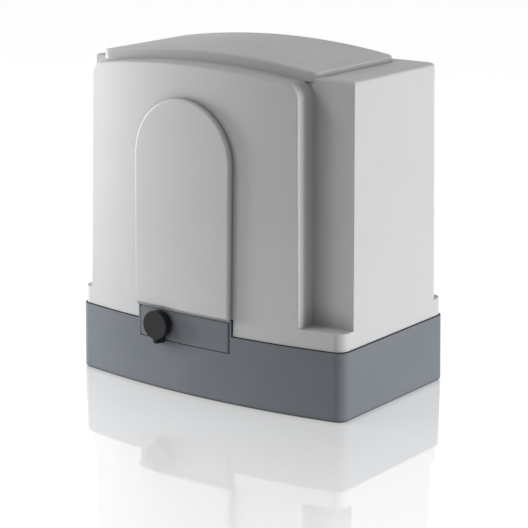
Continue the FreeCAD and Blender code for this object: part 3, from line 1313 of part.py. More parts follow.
def limit_switch():
    x, z, half = s("shaft_x"), s("switch_z"), s("switch_half")
    front, back = s("switch_front"), s("switch_back")
    case = box("SwitchCase", (x - half, front, s("switch_low")), (x + half, back,
                                                                s("switch_high")))
    bore = cylinder("SwitchBore", s("lever_shaft") + s("running_gap"), 10.0, (x, back - 9.0, z),
                    "y")
    tabs = box("SwitchTabs", (x - half - 6.0, front + 4.0, s("switch_low")),
               (x + half + 6.0, front + 12.0, s("switch_low") + 2.5))
    node(cut("LimitSwitchBox", fuse("SwitchWhole", case, tabs), bore), "limit_switch_box")
    radius, start, end = s("lever_radius"), s("lever_front"), s("lever_back")
    hub = turned("LeverHub", [
        (0, 0), (s("lever_shaft"), 0), (s("lever_shaft"), start - back + 8.0),
        (radius, start - back + 8.0), (radius, end - back + 7.0), (radius - 1.0, end - back + 8.0),
        (0, end - back + 8.0)], (x, back - 8.0, z), "y")
    node(hub, "limit_lever_hub")
    wire = s("spring_radius")
    low = z + radius + 0.02
    coils = 9
    pitch = (s("spring_top") - low) / coils
    profile = [(0, 0)]
    for number_of in range(coils):
        profile += [(wire, pitch * number_of), (wire - 0.7, pitch * (number_of + 0.85))]
    profile += [(wire - 0.7, pitch * coils), (0, pitch * coils)]
    node(turned("LimitSpring", profile, (x, (start + end) / 2, low)), "limit_spring")


def cable_gland():
    radius, bore = s("gland_radius"), s("gland_bore")
    floor = s("base_floor")
    node(turned("CableGland", [
        (bore, 0.6), (radius - 2.8, 0.6), (radius - 2.8, floor + 0.1), (radius, floor + 0.1),
        (radius, floor + 3.0), (bore + 4.0, floor + 5.0), (bore + 2.0, floor + 12.0),
        (bore, floor + 12.0)], (s("gland_x"), s("gland_y"), 0)), "cable_gland")


for build in (base_housing, cover, cover_screws, cover_gasket, release_door, door_hinge_pin,
              lock_pieces, lock_cap, release_pieces, gear_housing, gearcase_cover, case_screws,
              bearings, output_shaft, worm_wheel, drive_pinion, rotor, motor, transformer,
              capacitor, board, limit_switch, cable_gland):
    build()

doc.recompute()
for thing in doc.Objects:
    if "Invalid" in thing.State or "Error" in thing.State:
        raise RuntimeError(f"{thing.Name} is in state {thing.State}")
for name, thing in nodes.items():
    if thing.Shape.isNull() or not thing.Shape.isValid():
        raise RuntimeError(f"{name} has no valid shape")

os.makedirs("parts", exist_ok=True)
for name, thing in nodes.items():
    thing.Shape.exportStep(f"parts/{name}.step")
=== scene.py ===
import json
import math
import bmesh
import bpy
from mathutils import Matrix, Vector


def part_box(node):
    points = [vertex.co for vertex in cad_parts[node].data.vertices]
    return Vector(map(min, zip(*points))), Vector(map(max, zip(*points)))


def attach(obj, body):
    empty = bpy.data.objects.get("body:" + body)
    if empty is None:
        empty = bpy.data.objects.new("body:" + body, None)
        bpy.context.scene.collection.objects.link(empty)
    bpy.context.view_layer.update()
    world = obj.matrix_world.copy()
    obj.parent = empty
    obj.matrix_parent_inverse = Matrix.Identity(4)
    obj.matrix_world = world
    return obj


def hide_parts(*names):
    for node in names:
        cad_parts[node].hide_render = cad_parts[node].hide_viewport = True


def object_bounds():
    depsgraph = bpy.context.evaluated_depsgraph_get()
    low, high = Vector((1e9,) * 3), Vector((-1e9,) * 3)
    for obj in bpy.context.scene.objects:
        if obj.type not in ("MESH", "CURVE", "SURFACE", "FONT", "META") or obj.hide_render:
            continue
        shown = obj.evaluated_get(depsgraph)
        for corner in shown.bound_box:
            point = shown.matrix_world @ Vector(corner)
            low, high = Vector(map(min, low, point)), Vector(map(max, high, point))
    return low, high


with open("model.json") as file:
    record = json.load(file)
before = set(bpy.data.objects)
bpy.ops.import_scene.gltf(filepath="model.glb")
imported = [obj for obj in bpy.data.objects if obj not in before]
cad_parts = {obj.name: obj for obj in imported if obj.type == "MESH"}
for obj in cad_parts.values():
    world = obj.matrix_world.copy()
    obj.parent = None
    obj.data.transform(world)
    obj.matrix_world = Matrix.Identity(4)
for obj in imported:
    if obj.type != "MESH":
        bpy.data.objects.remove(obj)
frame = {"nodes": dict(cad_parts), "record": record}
cadLow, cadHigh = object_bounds()
nodes = frame["nodes"]
print("frame loaded:", len(nodes), "nodes")


# Short ways to add and join shader nodes

def newMaterial(name):
    mat = bpy.data.materials.new(name)
    mat.use_nodes = True
    return mat, mat.node_tree, mat.node_tree.nodes["Principled BSDF"]


def addNode(tree, kind, **values):
    made = tree.nodes.new("ShaderNode" + kind)
    for key, value in values.items():
        setattr(made, key, value)
    return made


def feed(tree, value, socket):  # a socket is linked, a plain value is set
    if isinstance(value, bpy.types.NodeSocket):
        tree.links.new(value, socket)
    else:
        socket.default_value = value


def calc(tree, operation, first, second=0.0, clamp=False):
    made = addNode(tree, "Math", operation=operation, use_clamp=clamp)
    feed(tree, first, made.inputs[0])
    feed(tree, second, made.inputs[1])
    return made.outputs[0]


def spread(tree, value, low, high, outLow=0.0, outHigh=1.0):
    made = addNode(tree, "MapRange")
    feed(tree, value, made.inputs["Value"])
    made.inputs["From Min"].default_value = low
    made.inputs["From Max"].default_value = high
    feed(tree, outLow, made.inputs["To Min"])
    feed(tree, outHigh, made.inputs["To Max"])
    return made.outputs[0]


def blendColor(tree, amount, first, second):
    made = addNode(tree, "Mix", data_type="RGBA")
    feed(tree, amount, made.inputs[0])
    feed(tree, first, made.inputs[6])
    feed(tree, second, made.inputs[7])
    return made.outputs[2]


def noise(tree, position, size, detail=3.0, roughness=0.5):
    made = addNode(tree, "TexNoise")
    tree.links.new(position, made.inputs["Vector"])
    feed(tree, calc(tree, "DIVIDE", 1.0, size), made.inputs["Scale"])
    made.inputs["Detail"].default_value = detail
    made.inputs["Roughness"].default_value = roughness
    return made.outputs["Fac"]


def newGroup(name, inputs, outputs):
    group = bpy.data.node_groups.new(name, "ShaderNodeTree")
    for label, kind, default in inputs:
        made = group.interface.new_socket(label, in_out="INPUT", socket_type="NodeSocket" + kind)
        made.default_value = default
    for label, kind in outputs:
        group.interface.new_socket(label, in_out="OUTPUT", socket_type="NodeSocket" + kind)
    start = group.nodes.new("NodeGroupInput").outputs
    end = group.nodes.new("NodeGroupOutput").inputs
    return group, start, end


def useGroup(tree, group, **values):
    made = addNode(tree, "Group")
    made.node_tree = group
    for key, value in values.items():
        feed(tree, value, made.inputs[key])
    return made.outputs


# Effects that several finishes share

def makeToneDrift():  # slow, slight change of colour over a piece; sizes in metres
    group, start, end = newGroup("toneDrift", [
        ("color", "Color", (0.5, 0.5, 0.5, 1)), ("other", "Color", (0.4, 0.4, 0.4, 1)),
        ("size", "Float", 0.05), ("amount", "Float", 0.1)], [("color", "Color"), ("mask", "Float")])
    spot = addNode(group, "TexCoord").outputs["Object"]
    broad = noise(group, spot, start["size"], 4.0, 0.55)
    mask = spread(group, broad, 0.35, 0.7)
    feed(group, mask, end["mask"])
    feed(group, blendColor(group, calc(group, "MULTIPLY", mask, start["amount"]),
                           start["color"], start["other"]), end["color"])
    return group


# Partly real wear and partly a painted highlight: edges take a lighter colour where a rounded normal
# leaves the true one.
def makeEdgeWearAndHighlight():  # where a rounded normal leaves the true one, broken up by noise
    group, start, end = newGroup("edgeWearAndHighlight", [
        ("radius", "Float", 0.0008), ("amount", "Float", 0.5)], [("mask", "Float")])
    rounded = addNode(group, "Bevel", samples=4)
    feed(group, start["radius"], rounded.inputs["Radius"])
    facing = addNode(group, "VectorMath", operation="DOT_PRODUCT")
    feed(group, rounded.outputs[0], facing.inputs[0])
    feed(group, addNode(group, "NewGeometry").outputs["Normal"], facing.inputs[1])
    edge = spread(group, facing.outputs["Value"], 0.995, 0.86)
    spot = addNode(group, "TexCoord").outputs["Object"]
    broken = spread(group, noise(group, spot, 0.004, 3.0), 0.4, 0.62)
    feed(group, calc(group, "MULTIPLY", calc(group, "MULTIPLY", edge, broken), start["amount"],
                     True), end["mask"])
    return group


def makeFineGrain():  # pebbled skin of a moulding or a casting, as a height
    group, start, end = newGroup("fineGrain", [
        ("size", "Float", 0.0008), ("softness", "Float", 0.5)], [("height", "Float")])
    spot = addNode(group, "TexCoord").outputs["Object"]
    cells = addNode(group, "TexVoronoi", feature="SMOOTH_F1")
    feed(group, spot, cells.inputs["Vector"])
    feed(group, calc(group, "DIVIDE", 1.0, start["size"]), cells.inputs["Scale"])
    cells.inputs["Smoothness"].default_value = 0.6
    fine = noise(group, spot, start["size"], 2.0)
    mixed = addNode(group, "Mix")
    feed(group, start["softness"], mixed.inputs[0])
    feed(group, cells.outputs["Distance"], mixed.inputs[2])
    feed(group, fine, mixed.inputs[3])
    feed(group, mixed.outputs[0], end["height"])
    return group


# Painted shade: this group darkens a colour where other surfaces stand close, in corners, recesses and
# gaps.
def makeCreviceShade():  # dark where other surfaces stand close; reach in metres
    group, start, end = newGroup("creviceShade", [
        ("reach", "Float", 0.02), ("amount", "Float", 0.7)], [("mask", "Float")])
    near = addNode(group, "AmbientOcclusion", samples=6)
    feed(group, start["reach"], near.inputs["Distance"])
    closed = calc(group, "SUBTRACT", 1.0, near.outputs["AO"])
    feed(group, calc(group, "MULTIPLY", closed, start["amount"], True), end["mask"])
    return group


def makeSettledDust():  # a little dust on faces that look up
    group, start, end = newGroup("settledDust", [("amount", "Float", 0.2)], [("mask", "Float")])
    parts = addNode(group, "SeparateXYZ")
    feed(group, addNode(group, "NewGeometry").outputs["Normal"], parts.inputs[0])
    spot = addNode(group, "TexCoord").outputs["Object"]
    patchy = spread(group, noise(group, spot, 0.02, 5.0, 0.6), 0.3, 0.75)
    upward = spread(group, parts.outputs["Z"], 0.55, 1.0)
    feed(group, calc(group, "MULTIPLY", calc(group, "MULTIPLY", upward, patchy),
                     start["amount"], True), end["mask"])
    return group


def makeMachinedLines():  # fine lines left by a cutter, stretched along one axis
    group, start, end = newGroup("machinedLines", [
        ("stretch", "Vector", (1, 1, 1)), ("size", "Float", 0.001)], [("height", "Float")])
    turned = addNode(group, "Mapping")
    feed(group, addNode(group, "TexCoord").outputs["Object"], turned.inputs["Vector"])
    feed(group, start["stretch"], turned.inputs["Scale"])
    feed(group, noise(group, turned.outputs[0], start["size"], 4.0, 0.6), end["height"])
    return group


def makeSheetBands():  # edges of thin sheets that are stacked along a direction
    group, start, end = newGroup("sheetBands", [
        ("along", "Vector", (0, 0, 1)), ("sheet", "Float", 0.0015)], [("height", "Float")])
    level = addNode(group, "VectorMath", operation="DOT_PRODUCT")
    feed(group, addNode(group, "TexCoord").outputs["Object"], level.inputs[0])
    feed(group, start["along"], level.inputs[1])
    place = addNode(group, "CombineXYZ")
    feed(group, level.outputs["Value"], place.inputs["X"])
    bands = addNode(group, "TexWave", bands_direction="X")
    feed(group, place.outputs[0], bands.inputs["Vector"])
    bands.inputs["Distortion"].default_value = 0.0
    feed(group, calc(group, "DIVIDE", 0.314, start["sheet"]), bands.inputs["Scale"])  # 2 pi / 20
    feed(group, bands.outputs["Fac"], end["height"])
    return group


toneDrift = makeToneDrift()
edgeWearAndHighlight = makeEdgeWearAndHighlight()
fineGrain = makeFineGrain()
settledDust = makeSettledDust()
creviceShade = makeCreviceShade()
machinedLines = makeMachinedLines()
sheetBands = makeSheetBands()


# Finishes

def bump(tree, shader, height, strength, distance):
    made = addNode(tree, "Bump")
    made.inputs["Strength"].default_value = strength
    made.inputs["Distance"].default_value = distance
    feed(tree, height, made.inputs["Height"])
    feed(tree, made.outputs[0], shader.inputs["Normal"])


def moldedPlastic(name, look):
    mat, tree, shader = newMaterial(name)
    drift = useGroup(tree, toneDrift, color=look["color"], other=look["shade"],
                     size=look["driftSize"], amount=look["drift"])
    wornAndHighlight = useGroup(tree, edgeWearAndHighlight, radius=look["wearAndHighlightRadius"], amount=look["wearAndHighlight"])["mask"]
    dust = useGroup(tree, settledDust, amount=look["dust"])["mask"]
    # Edges: wear and a painted highlight.
    color = blendColor(tree, wornAndHighlight, drift["color"], look["wornAndHighlightColor"])
    color = blendColor(tree, dust, color, look["dustColor"])
    # Painted shade in corners, recesses and gaps, darkened towards the given colour.
    if "paintedShadeReach" in look:
        paintedShade = useGroup(tree, creviceShade, reach=look["paintedShadeReach"], amount=look["paintedShade"])
        color = blendColor(tree, paintedShade["mask"], color, look["paintedShadeColor"])
    feed(tree, color, shader.inputs["Base Color"])
    height = useGroup(tree, fineGrain, size=look["grainSize"], softness=0.5)["height"]
    rough = spread(tree, drift["mask"], 0.0, 1.0, look["rough"] - 0.03, look["rough"] + 0.05)
    feed(tree, calc(tree, "ADD", rough, calc(tree, "MULTIPLY", dust, 0.3), True),
         shader.inputs["Roughness"])
    shader.inputs["Specular IOR Level"].default_value = look["specular"]
    bump(tree, shader, height, look["grain"], look["grainDepth"])
    return mat


def metalSkin(name, look):  # stretch squeezes the machining lines along an axis
    mat, tree, shader = newMaterial(name)
    lines = useGroup(tree, machinedLines, stretch=look["stretch"], size=look["lineSize"])["height"]
    drift = useGroup(tree, toneDrift, color=look["color"], other=look["shade"],
                     size=look["driftSize"], amount=look["drift"])
    wornAndHighlight = useGroup(tree, edgeWearAndHighlight, radius=0.0005, amount=look["wearAndHighlight"])["mask"]
    # Edges: wear and a painted highlight.
    feed(tree, blendColor(tree, wornAndHighlight, drift["color"], look["wornAndHighlightColor"]),
         shader.inputs["Base Color"])
    shader.inputs["Metallic"].default_value = look["metallic"]
    feed(tree, spread(tree, lines, 0.25, 0.75, look["rough"] - 0.08, look["rough"] + 0.1),
         shader.inputs["Roughness"])
    bump(tree, shader, lines, look["grain"], look["grainDepth"])
    return mat


def castSkin(name, look):
    mat, tree, shader = newMaterial(name)
    drift = useGroup(tree, toneDrift, color=look["color"], other=look["shade"],
                     size=look["driftSize"], amount=look["drift"])
    wornAndHighlight = useGroup(tree, edgeWearAndHighlight, radius=0.0008, amount=look["wearAndHighlight"])["mask"]
    # Edges: wear and a painted highlight.
    feed(tree, blendColor(tree, wornAndHighlight, drift["color"], look["wornAndHighlightColor"]),
         shader.inputs["Base Color"])
    shader.inputs["Metallic"].default_value = look["metallic"]
    height = useGroup(tree, fineGrain, size=look["grainSize"], softness=0.3)["height"]
    feed(tree, spread(tree, height, 0.1, 0.8, look["rough"] + 0.1, look["rough"] - 0.08),
         shader.inputs["Roughness"])
    bump(tree, shader, height, look["grain"], look["grainDepth"])
    return mat


def laminated(name, look):  # thin sheets or wires, as a stack of bands
    mat, tree, shader = newMaterial(name)
    bands = useGroup(tree, sheetBands, along=look["along"], sheet=look["sheet"])["height"]
    drift = useGroup(tree, toneDrift, color=look["color"], other=look["shade"],
                     size=0.02, amount=0.5)
    feed(tree, blendColor(tree, calc(tree, "MULTIPLY", bands, 0.5), drift["color"], look["gap"]),
         shader.inputs["Base Color"])
    shader.inputs["Metallic"].default_value = look["metallic"]
    feed(tree, spread(tree, bands, 0.0, 1.0, look["rough"], look["rough"] + 0.2),
         shader.inputs["Roughness"])
    bump(tree, shader, bands, 0.6, 0.0003)
    return mat


# The cover paints shade into its corners, notch and recesses through the crevice group.
paleCover = moldedPlastic("coverPlastic", {
    "color": (0.68, 0.683, 0.69, 1), "shade": (0.65, 0.653, 0.66, 1), "driftSize": 0.09,
    "drift": 0.6, "wearAndHighlight": 0.25, "wearAndHighlightRadius": 0.0012, "wornAndHighlightColor": (0.75, 0.75, 0.75, 1),
    "dust": 0.12, "dustColor": (0.52, 0.51, 0.48, 1), "grainSize": 0.0011, "grain": 0.12,
    "grainDepth": 0.0002, "rough": 0.45, "specular": 0.35, "paintedShadeReach": 0.020, "paintedShade": 0.72,
    "paintedShadeColor": (0.16, 0.165, 0.17, 1)})
# Cover plastic painted darker: painted shade on the strip under the front panel's edge.
paintedShadeStrip = moldedPlastic("paintedShadeStrip", {
    "color": (0.36, 0.365, 0.375, 1), "shade": (0.32, 0.325, 0.335, 1), "driftSize": 0.03,
    "drift": 0.6, "wearAndHighlight": 0.3, "wearAndHighlightRadius": 0.0003, "wornAndHighlightColor": (0.5, 0.5, 0.5, 1),
    "dust": 0.2, "dustColor": (0.3, 0.3, 0.29, 1), "grainSize": 0.0009, "grain": 0.15,
    "grainDepth": 0.0002, "rough": 0.5, "specular": 0.3})
# The base paints shade into its seams and narrow gaps through the crevice group.
darkBase = moldedPlastic("basePlastic", {
    "color": (0.215, 0.236, 0.262, 1), "shade": (0.196, 0.217, 0.243, 1), "driftSize": 0.06,
    "drift": 0.7, "wearAndHighlight": 0.3, "wearAndHighlightRadius": 0.001, "wornAndHighlightColor": (0.29, 0.31, 0.34, 1),
    "dust": 0.15, "dustColor": (0.34, 0.335, 0.32, 1), "grainSize": 0.0012, "grain": 0.2,
    "grainDepth": 0.0002, "rough": 0.55, "specular": 0.16, "paintedShadeReach": 0.005, "paintedShade": 0.95,
    "paintedShadeColor": (0.02, 0.022, 0.025, 1)})
blackPlastic = moldedPlastic("blackPlastic", {
    "color": (0.017, 0.017, 0.019, 1), "shade": (0.023, 0.023, 0.025, 1), "driftSize": 0.02,
    "drift": 0.6, "wearAndHighlight": 0.5, "wearAndHighlightRadius": 0.0006, "wornAndHighlightColor": (0.10, 0.10, 0.105, 1),
    "dust": 0.1, "dustColor": (0.10, 0.10, 0.095, 1), "grainSize": 0.0007, "grain": 0.2,
    "grainDepth": 0.00015, "rough": 0.5, "specular": 0.2})
whitePlastic = moldedPlastic("whitePlastic", {
    "color": (0.74, 0.74, 0.72, 1), "shade": (0.68, 0.68, 0.65, 1), "driftSize": 0.02,
    "drift": 0.5, "wearAndHighlight": 0.2, "wearAndHighlightRadius": 0.0006, "wornAndHighlightColor": (0.8, 0.8, 0.8, 1),
    "dust": 0.15, "dustColor": (0.45, 0.43, 0.40, 1), "grainSize": 0.0007, "grain": 0.1,
    "grainDepth": 0.0001, "rough": 0.3, "specular": 0.5})
terminalPlastic = moldedPlastic("terminalPlastic", {
    "color": (0.045, 0.20, 0.09, 1), "shade": (0.035, 0.16, 0.07, 1), "driftSize": 0.01,
    "drift": 0.5, "wearAndHighlight": 0.3, "wearAndHighlightRadius": 0.0004, "wornAndHighlightColor": (0.12, 0.32, 0.18, 1),
    "dust": 0.1, "dustColor": (0.3, 0.3, 0.27, 1), "grainSize": 0.0006, "grain": 0.1,
    "grainDepth": 0.0001, "rough": 0.4, "specular": 0.5})
relayPlastic = moldedPlastic("relayPlastic", {
    "color": (0.02, 0.07, 0.24, 1), "shade": (0.016, 0.055, 0.2, 1), "driftSize": 0.015,
    "drift": 0.5, "wearAndHighlight": 0.3, "wearAndHighlightRadius": 0.0005, "wornAndHighlightColor": (0.1, 0.16, 0.34, 1),
    "dust": 0.1, "dustColor": (0.25, 0.25, 0.25, 1), "grainSize": 0.0006, "grain": 0.05,
    "grainDepth": 0.0001, "rough": 0.28, "specular": 0.5})
blackRubber = moldedPlastic("blackRubber", {
    "color": (0.018, 0.018, 0.018, 1), "shade": (0.032, 0.031, 0.03, 1), "driftSize": 0.012,
    "drift": 0.8, "wearAndHighlight": 0.2, "wearAndHighlightRadius": 0.0006, "wornAndHighlightColor": (0.07, 0.07, 0.07, 1),
    "dust": 0.25, "dustColor": (0.14, 0.13, 0.12, 1), "grainSize": 0.0005, "grain": 0.3,
    "grainDepth": 0.00015, "rough": 0.72, "specular": 0.3})
coilTape = moldedPlastic("coilTape", {
    "color": (0.55, 0.36, 0.05, 1), "shade": (0.45, 0.28, 0.04, 1), "driftSize": 0.008,
    "drift": 0.7, "wearAndHighlight": 0.2, "wearAndHighlightRadius": 0.0006, "wornAndHighlightColor": (0.62, 0.46, 0.14, 1),
    "dust": 0.1, "dustColor": (0.4, 0.36, 0.25, 1), "grainSize": 0.0016, "grain": 0.35,
    "grainDepth": 0.0002, "rough": 0.35, "specular": 0.5})

zincSteel = metalSkin("zincSteel", {
    "color": (0.56, 0.56, 0.54, 1), "shade": (0.46, 0.47, 0.44, 1), "wornAndHighlightColor": (0.75, 0.75, 0.74, 1),
    "driftSize": 0.006, "drift": 0.7, "wearAndHighlight": 0.5, "metallic": 1.0, "rough": 0.36,
    "stretch": (1, 1, 1), "lineSize": 0.0015, "grain": 0.15, "grainDepth": 0.0001})
brightSteel = metalSkin("brightSteel", {
    "color": (0.60, 0.60, 0.60, 1), "shade": (0.50, 0.50, 0.51, 1), "wornAndHighlightColor": (0.8, 0.8, 0.8, 1),
    "driftSize": 0.01, "drift": 0.5, "wearAndHighlight": 0.4, "metallic": 1.0, "rough": 0.24,
    "stretch": (1, 8, 1), "lineSize": 0.0012, "grain": 0.08, "grainDepth": 0.0001})
gearSteel = metalSkin("gearSteel", {
    "color": (0.30, 0.30, 0.31, 1), "shade": (0.20, 0.20, 0.205, 1), "wornAndHighlightColor": (0.62, 0.62, 0.62, 1),
    "driftSize": 0.008, "drift": 0.8, "wearAndHighlight": 0.8, "metallic": 1.0, "rough": 0.36,
    "stretch": (1, 0.2, 1), "lineSize": 0.0009, "grain": 0.2, "grainDepth": 0.0001})
bronze = metalSkin("wheelBronze", {
    "color": (0.62, 0.38, 0.13, 1), "shade": (0.48, 0.28, 0.10, 1), "wornAndHighlightColor": (0.8, 0.58, 0.3, 1),
    "driftSize": 0.01, "drift": 0.7, "wearAndHighlight": 0.6, "metallic": 1.0, "rough": 0.3,
    "stretch": (1, 0.3, 1), "lineSize": 0.001, "grain": 0.15, "grainDepth": 0.0001})
blackenedLock = metalSkin("lockMetal", {
    "color": (0.05, 0.05, 0.055, 1), "shade": (0.035, 0.035, 0.04, 1), "wornAndHighlightColor": (0.4, 0.4, 0.4, 1),
    "driftSize": 0.006, "drift": 0.6, "wearAndHighlight": 0.6, "metallic": 0.9, "rough": 0.4,
    "stretch": (1, 1, 1), "lineSize": 0.001, "grain": 0.15, "grainDepth": 0.0001})
castAluminium = castSkin("castAluminium", {
    "color": (0.50, 0.51, 0.52, 1), "shade": (0.40, 0.41, 0.42, 1), "wornAndHighlightColor": (0.72, 0.72, 0.73, 1),
    "driftSize": 0.03, "drift": 0.8, "wearAndHighlight": 0.6, "metallic": 0.85, "rough": 0.5,
    "grainSize": 0.0014, "grain": 0.45, "grainDepth": 0.0003})
coreSteel = laminated("coreSteel", {
    "color": (0.10, 0.10, 0.105, 1), "shade": (0.14, 0.135, 0.13, 1), "gap": (0.03, 0.03, 0.03, 1),
    "along": (0, 0, 1), "sheet": 0.0015, "metallic": 0.7, "rough": 0.42})
windingCopper = laminated("windingCopper", {
    "color": (0.55, 0.20, 0.07, 1), "shade": (0.42, 0.14, 0.05, 1), "gap": (0.16, 0.05, 0.02, 1),
    "along": (0.5, 0.5, 0.5), "sheet": 0.0012, "metallic": 0.75, "rough": 0.3})


def circuitBoard():
    mat, tree, shader = newMaterial("boardGreen")
    spot = addNode(tree, "TexCoord").outputs["Object"]
    cells = addNode(tree, "TexBrick")
    turn = addNode(tree, "Mapping")
    feed(tree, spot, turn.inputs["Vector"])
    turn.inputs["Rotation"].default_value = (math.radians(90), 0, 0)
    feed(tree, turn.outputs[0], cells.inputs["Vector"])
    cells.inputs["Scale"].default_value = 90.0
    cells.inputs["Mortar Size"].default_value = 0.035
    tracks = spread(tree, cells.outputs["Fac"], 0.0, 1.0)
    drift = useGroup(tree, toneDrift, color=(0.012, 0.12, 0.045, 1), other=(0.02, 0.16, 0.06, 1),
                     size=0.02, amount=0.6)
    feed(tree, blendColor(tree, tracks, drift["color"], (0.03, 0.22, 0.085, 1)),
         shader.inputs["Base Color"])
    feed(tree, spread(tree, tracks, 0.0, 1.0, 0.28, 0.2), shader.inputs["Roughness"])
    bump(tree, shader, tracks, 0.4, 0.0001)
    return mat


finishes = {
    "base_plastic": darkBase, "cover_plastic": paleCover, "black_plastic": blackPlastic,
    "white_plastic": whitePlastic, "terminal_plastic": terminalPlastic,
    "relay_plastic": relayPlastic, "board_green": circuitBoard(), "coil_tape": coilTape,
    "black_rubber": blackRubber, "zinc_steel": zincSteel, "bright_steel": brightSteel,
    "gear_steel": gearSteel, "core_steel": coreSteel, "lock_metal": blackenedLock,
    "cast_aluminium": castAluminium, "wheel_bronze": bronze, "winding_copper": windingCopper}
for part in frame["record"]["subparts"]:
    for holder in nodes[part["node"]].material_slots:
        holder.material = finishes[part["material_slot"]]


# Pieces made here

def growFace(mesh, face, keep):  # the old face stays only where it closes the piece
    grown = bmesh.ops.extrude_face_region(mesh, geom=[face])["geom"]
    if not keep:
        bmesh.ops.delete(mesh, geom=[face], context="FACES_ONLY")
    return next(item for item in grown if isinstance(item, bmesh.types.BMFace))


def addBlock(mesh, low, high, rounding=0.0):
    low, high = Vector(low), Vector(high)
    place = Matrix.Translation((low + high) / 2) @ Matrix.Diagonal((*(high - low), 1))
    made = bmesh.ops.create_cube(mesh, size=1.0, matrix=place)["verts"]
    if rounding:
        edges = list({edge for spot in made for edge in spot.link_edges})
        bmesh.ops.bevel(mesh, geom=edges, offset=rounding, segments=2, profile=0.5,
                        affect="EDGES", material=-1)


def addTurned(mesh, profile, foot, axis="Z", sides=32):  # profile: radius and height pairs
    turn = Matrix.Rotation(math.radians(90), 4, "X") if axis == "Y" else Matrix()
    radius, height = profile[0]
    made = bmesh.ops.create_circle(mesh, cap_ends=True, segments=sides, radius=radius,
                                   matrix=Matrix.Translation((0, 0, height)))["verts"]
    first = end = made[0].link_faces[0]
    for wider, higher in profile[1:]:
        end = growFace(mesh, end, end == first)
        ring = list(end.verts)
        bmesh.ops.scale(mesh, verts=ring, vec=(wider / radius, wider / radius, 1))
        bmesh.ops.translate(mesh, verts=ring, vec=(0, 0, higher - height))
        radius, height = wider, higher
        made += ring
    bmesh.ops.transform(mesh, verts=made, matrix=Matrix.Translation(foot) @ turn)


def addTube(mesh, points, radius, sides=10):  # a round wire along a list of points
    places = []
    for number, point in enumerate(points):
        before, after = points[max(number - 1, 0)], points[min(number + 1, len(points) - 1)]
        along = (after - before).normalized()
        side = along.cross(Vector((0, 0, 1)) if abs(along.z) < 0.95 else Vector((1, 0, 0)))
        side.normalize()
        stand = Matrix((side, along.cross(side), along)).transposed().to_4x4()
        places.append(Matrix.Translation(point) @ stand)
    quarter = Matrix.Rotation(math.radians(-90), 4, "Z")
    made = bmesh.ops.create_circle(mesh, cap_ends=True, segments=sides, radius=radius,
                                   matrix=places[0] @ quarter)["verts"]
    first = end = made[0].link_faces[0]
    for here, onward in zip(places, places[1:]):
        end = growFace(mesh, end, end == first)
        bmesh.ops.transform(mesh, verts=list(end.verts), matrix=onward @ here.inverted())


def finishPiece(name, mesh, slotName, body, smooth=False, finish=None):
    bmesh.ops.recalc_face_normals(mesh, faces=mesh.faces)
    data = bpy.data.meshes.new(name)
    mesh.to_mesh(data)
    mesh.free()
    data.materials.append(finish or finishes[slotName])
    if smooth is True:
        data.shade_smooth()
    elif smooth is False:  # None keeps what the maker of the piece set
        data.shade_flat()
    piece = bpy.data.objects.new(name, data)
    bpy.context.collection.objects.link(piece)
    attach(piece, body)
    return piece


# A close-wound wire in place of the plain spring of the limit switch
def limitWire():
    look = {"wire": 0.00045, "turns": 26, "steps": 18, "loopSteps": 10}
    low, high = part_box("limit_spring")
    centre = (low + high) / 2
    coil = (high.x - low.x) / 2 - look["wire"]
    foot = low.z + look["wire"]
    rise = high.z - look["wire"] - coil - foot
    count = look["turns"] * look["steps"]
    points = []
    for step in range(count + 1):
        turn = 2 * math.pi * step / look["steps"]
        points.append(Vector((centre.x + coil * math.cos(turn), centre.y + coil * math.sin(turn),
                              foot + rise * step / count)))
    top = points[-1].z  # the last turn closes over the top as a half loop
    for step in range(1, look["loopSteps"]):
        turn = math.pi * step / look["loopSteps"]
        points.append(Vector((centre.x + coil * math.cos(turn), centre.y,
                              top + coil * math.sin(turn))))
    mesh = bmesh.new()
    addTube(mesh, points, look["wire"])
    piece = finishPiece("limitWire", mesh, "bright_steel", "limit_lever", True)
    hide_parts("limit_spring")


# The flip cap with two low grip ridges on its face, which is sunk so that they end flush
def lockCapShell():
    look = {"sink": 0.0003, "face": 0.0012, "ridge": 0.00045, "rounding": 0.00025,
            "ridges": ((0.0052, 0.0032), (-0.0058, 0.00256))}  # height and half length
    source = nodes["lock_cap"]
    low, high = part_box("lock_cap")
    mesh = bmesh.new()
    mesh.from_mesh(source.data)
    mesh.transform(source.matrix_world)
    bmesh.ops.remove_doubles(mesh, verts=mesh.verts, dist=0.000005)
    front = [spot for spot in mesh.verts if spot.co.y < low.y + look["face"]]
    bmesh.ops.translate(mesh, verts=front, vec=(0, look["sink"], 0))
    centre = Vector(((low.x + high.x) / 2, low.y + look["sink"], high.z - (high.x - low.x) / 2))
    for shift, reach in look["ridges"]:
        addBlock(mesh, centre + Vector((-reach, -look["sink"], shift - look["ridge"])),
                 centre + Vector((reach, look["sink"], shift + look["ridge"])), look["rounding"])
    piece = finishPiece("lockCapShell", mesh, "black_plastic", "cap")
    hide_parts("lock_cap")


